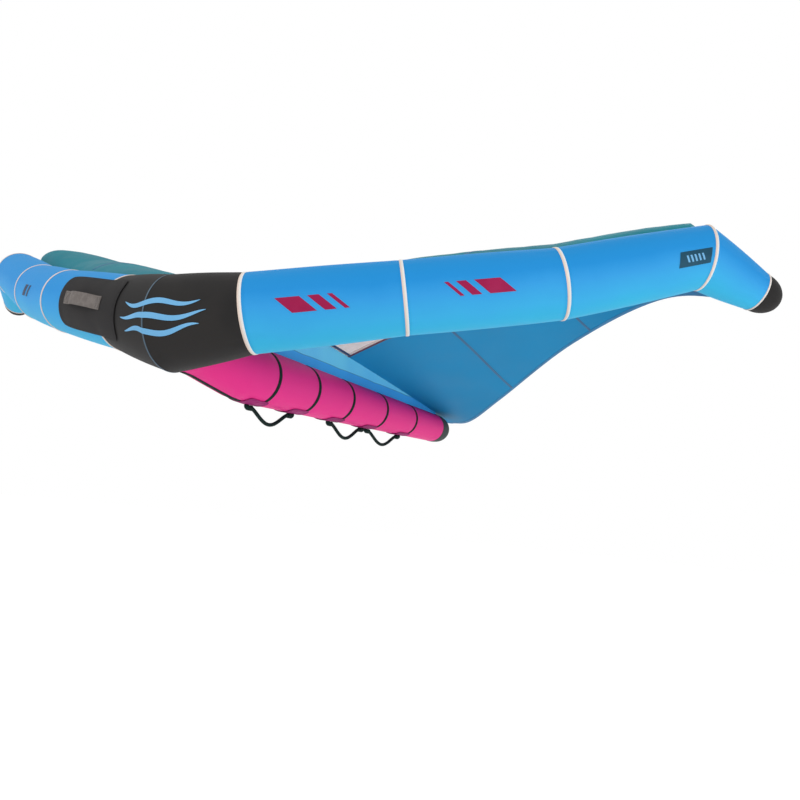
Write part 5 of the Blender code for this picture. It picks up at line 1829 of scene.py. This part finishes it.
def cap_piece(name, place, axes):
    under = NECK_HEIGHT + LID_GAP
    top, inner = under + CAP_WALL, CAP_RADIUS - CAP_WALL
    low = top - CAP_DEPTH
    step = CAP_BEVEL_STEP
    crown = [(0.0, top), (CAP_RADIUS - CAP_BEVEL, top), (CAP_RADIUS - step, top - step)]
    rim = [(CAP_RADIUS, top - CAP_BEVEL), (CAP_RADIUS, low + SOFT_EDGE)]
    lower = [(CAP_RADIUS - SOFT_EDGE, low), (inner, low), (inner, under), (0.0, under)]
    profile = crown + rim + lower
    body, nodes = f"{name}_cap", [f"{name}_cap"]
    turned(f"{name}_lid", profile, place, axes, body, nodes, "valve_plastic", RIB_HEIGHT)
    start = (0.5 * (inner + CAP_RADIUS), -0.5 * KNUCKLE_LENGTH, HINGE_HEIGHT - PIN)
    end = (HINGE_PLACE - 0.5 * KNUCKLE, 0.5 * KNUCKLE_LENGTH, HINGE_HEIGHT + PIN)
    block(f"{name}_arm", start, end, place, axes, body)


print("each cap is", mm(2 * CAP_RADIUS), "mm across, with", RIBS, "grip ribs")


# %% The hinge, and both valves
def hinge_pieces(name, place, axes):
    """The cap's eye, the pin through it and a lug on the flange at each end of the pin."""
    hinge = place + np.array((HINGE_PLACE, 0.0, HINGE_HEIGHT)) @ axes
    sideways = np.array([axes[2], axes[0], axes[1]])
    near, far = 0.5 * KNUCKLE_LENGTH, 0.5 * KNUCKLE_LENGTH + HOLE_GAP + LUG
    hole = PIN + HOLE_GAP
    eye = ((hole, -near), (KNUCKLE, -near), (KNUCKLE, near), (hole, near))
    turned(f"{name}_eye", softened(eye), hinge, sideways, f"{name}_cap")
    pin = ((0.0, -far), (PIN, -far), (PIN, far), (0.0, far))
    turned(f"{name}_pin", pin, hinge, sideways)
    for word, side in SIDES.items():
        ends = sorted((side * (near + HOLE_GAP), side * far))
        low = (HINGE_PLACE - KNUCKLE, ends[0], FLANGE_TOP - LUG_SUNK)
        high = (HINGE_PLACE + KNUCKLE, ends[1], HINGE_HEIGHT + KNUCKLE)
        block(f"{name}_lug_{word}", low, high, place, axes, "wing")


def valve_pieces(name, corners, centre):
    place, axes = valve_axes(corners, centre)
    neck_piece(name, place, axes)
    cap_piece(name, place, axes)
    hinge_pieces(name, place, axes)
    print(name, "stands at", tuple(round(float(x), 4) for x in place))
    return place, axes


EDGE_SEAT, EDGE_SEAT_ANGLES = (0.5, 1.0), (-30, -15)
STRUT_SEAT, STRUT_SEAT_ANGLES = (0.258 * STRUT_END, 0.344 * STRUT_END), (180, 165)


def left_edge_points(place, angles):
    return edge_points(place, -1, angles)


def flat_of(points_at, places, ways):
    """The corners of one flat of a tube, between two places and two angles."""
    return [points_at(place, np.radians([way]))[0] for place in places for way in ways]


edge_flat = flat_of(left_edge_points, EDGE_SEAT, EDGE_SEAT_ANGLES)
edge_valve = valve_pieces("edge_valve", edge_flat, edge_frame(sum(EDGE_SEAT) / 2, -1)[0] - GRIP)
strut_side, strut_place = flat_of(strut_points, STRUT_SEAT, STRUT_SEAT_ANGLES), sum(STRUT_SEAT) / 2
strut_middle = np.array((0.0, strut_place, strut_centre(strut_place)[0])) - GRIP
strut_valve = valve_pieces("strut_valve", strut_side, strut_middle)

# %% Cut the holes that the necks pass through
def drill(place, axes, *pieces):
    """A round hole through each piece, a little wider than the neck."""
    bpy.ops.object.select_all(action="DESELECT")
    bpy.ops.mesh.primitive_cylinder_add(vertices=64, radius=NECK + HOLE_GAP, depth=0.05)
    drill_bit = bpy.context.object
    drill_bit.data.vertices.foreach_set("co", (place + corners_of(drill_bit) @ axes).ravel())
    for piece in pieces:
        hole = piece.modifiers.new("hole", "BOOLEAN")
        hole.operation, hole.object, hole.solver = "DIFFERENCE", drill_bit, "EXACT"
        apply_all(piece)
        shade(piece)
    bpy.data.objects.remove(drill_bit)


drill(*edge_valve, edge_cloth["centre", "left"], edge_bladder)
drill(*strut_valve, strut, strut_bladder)
print("both necks pass through cloth and film")
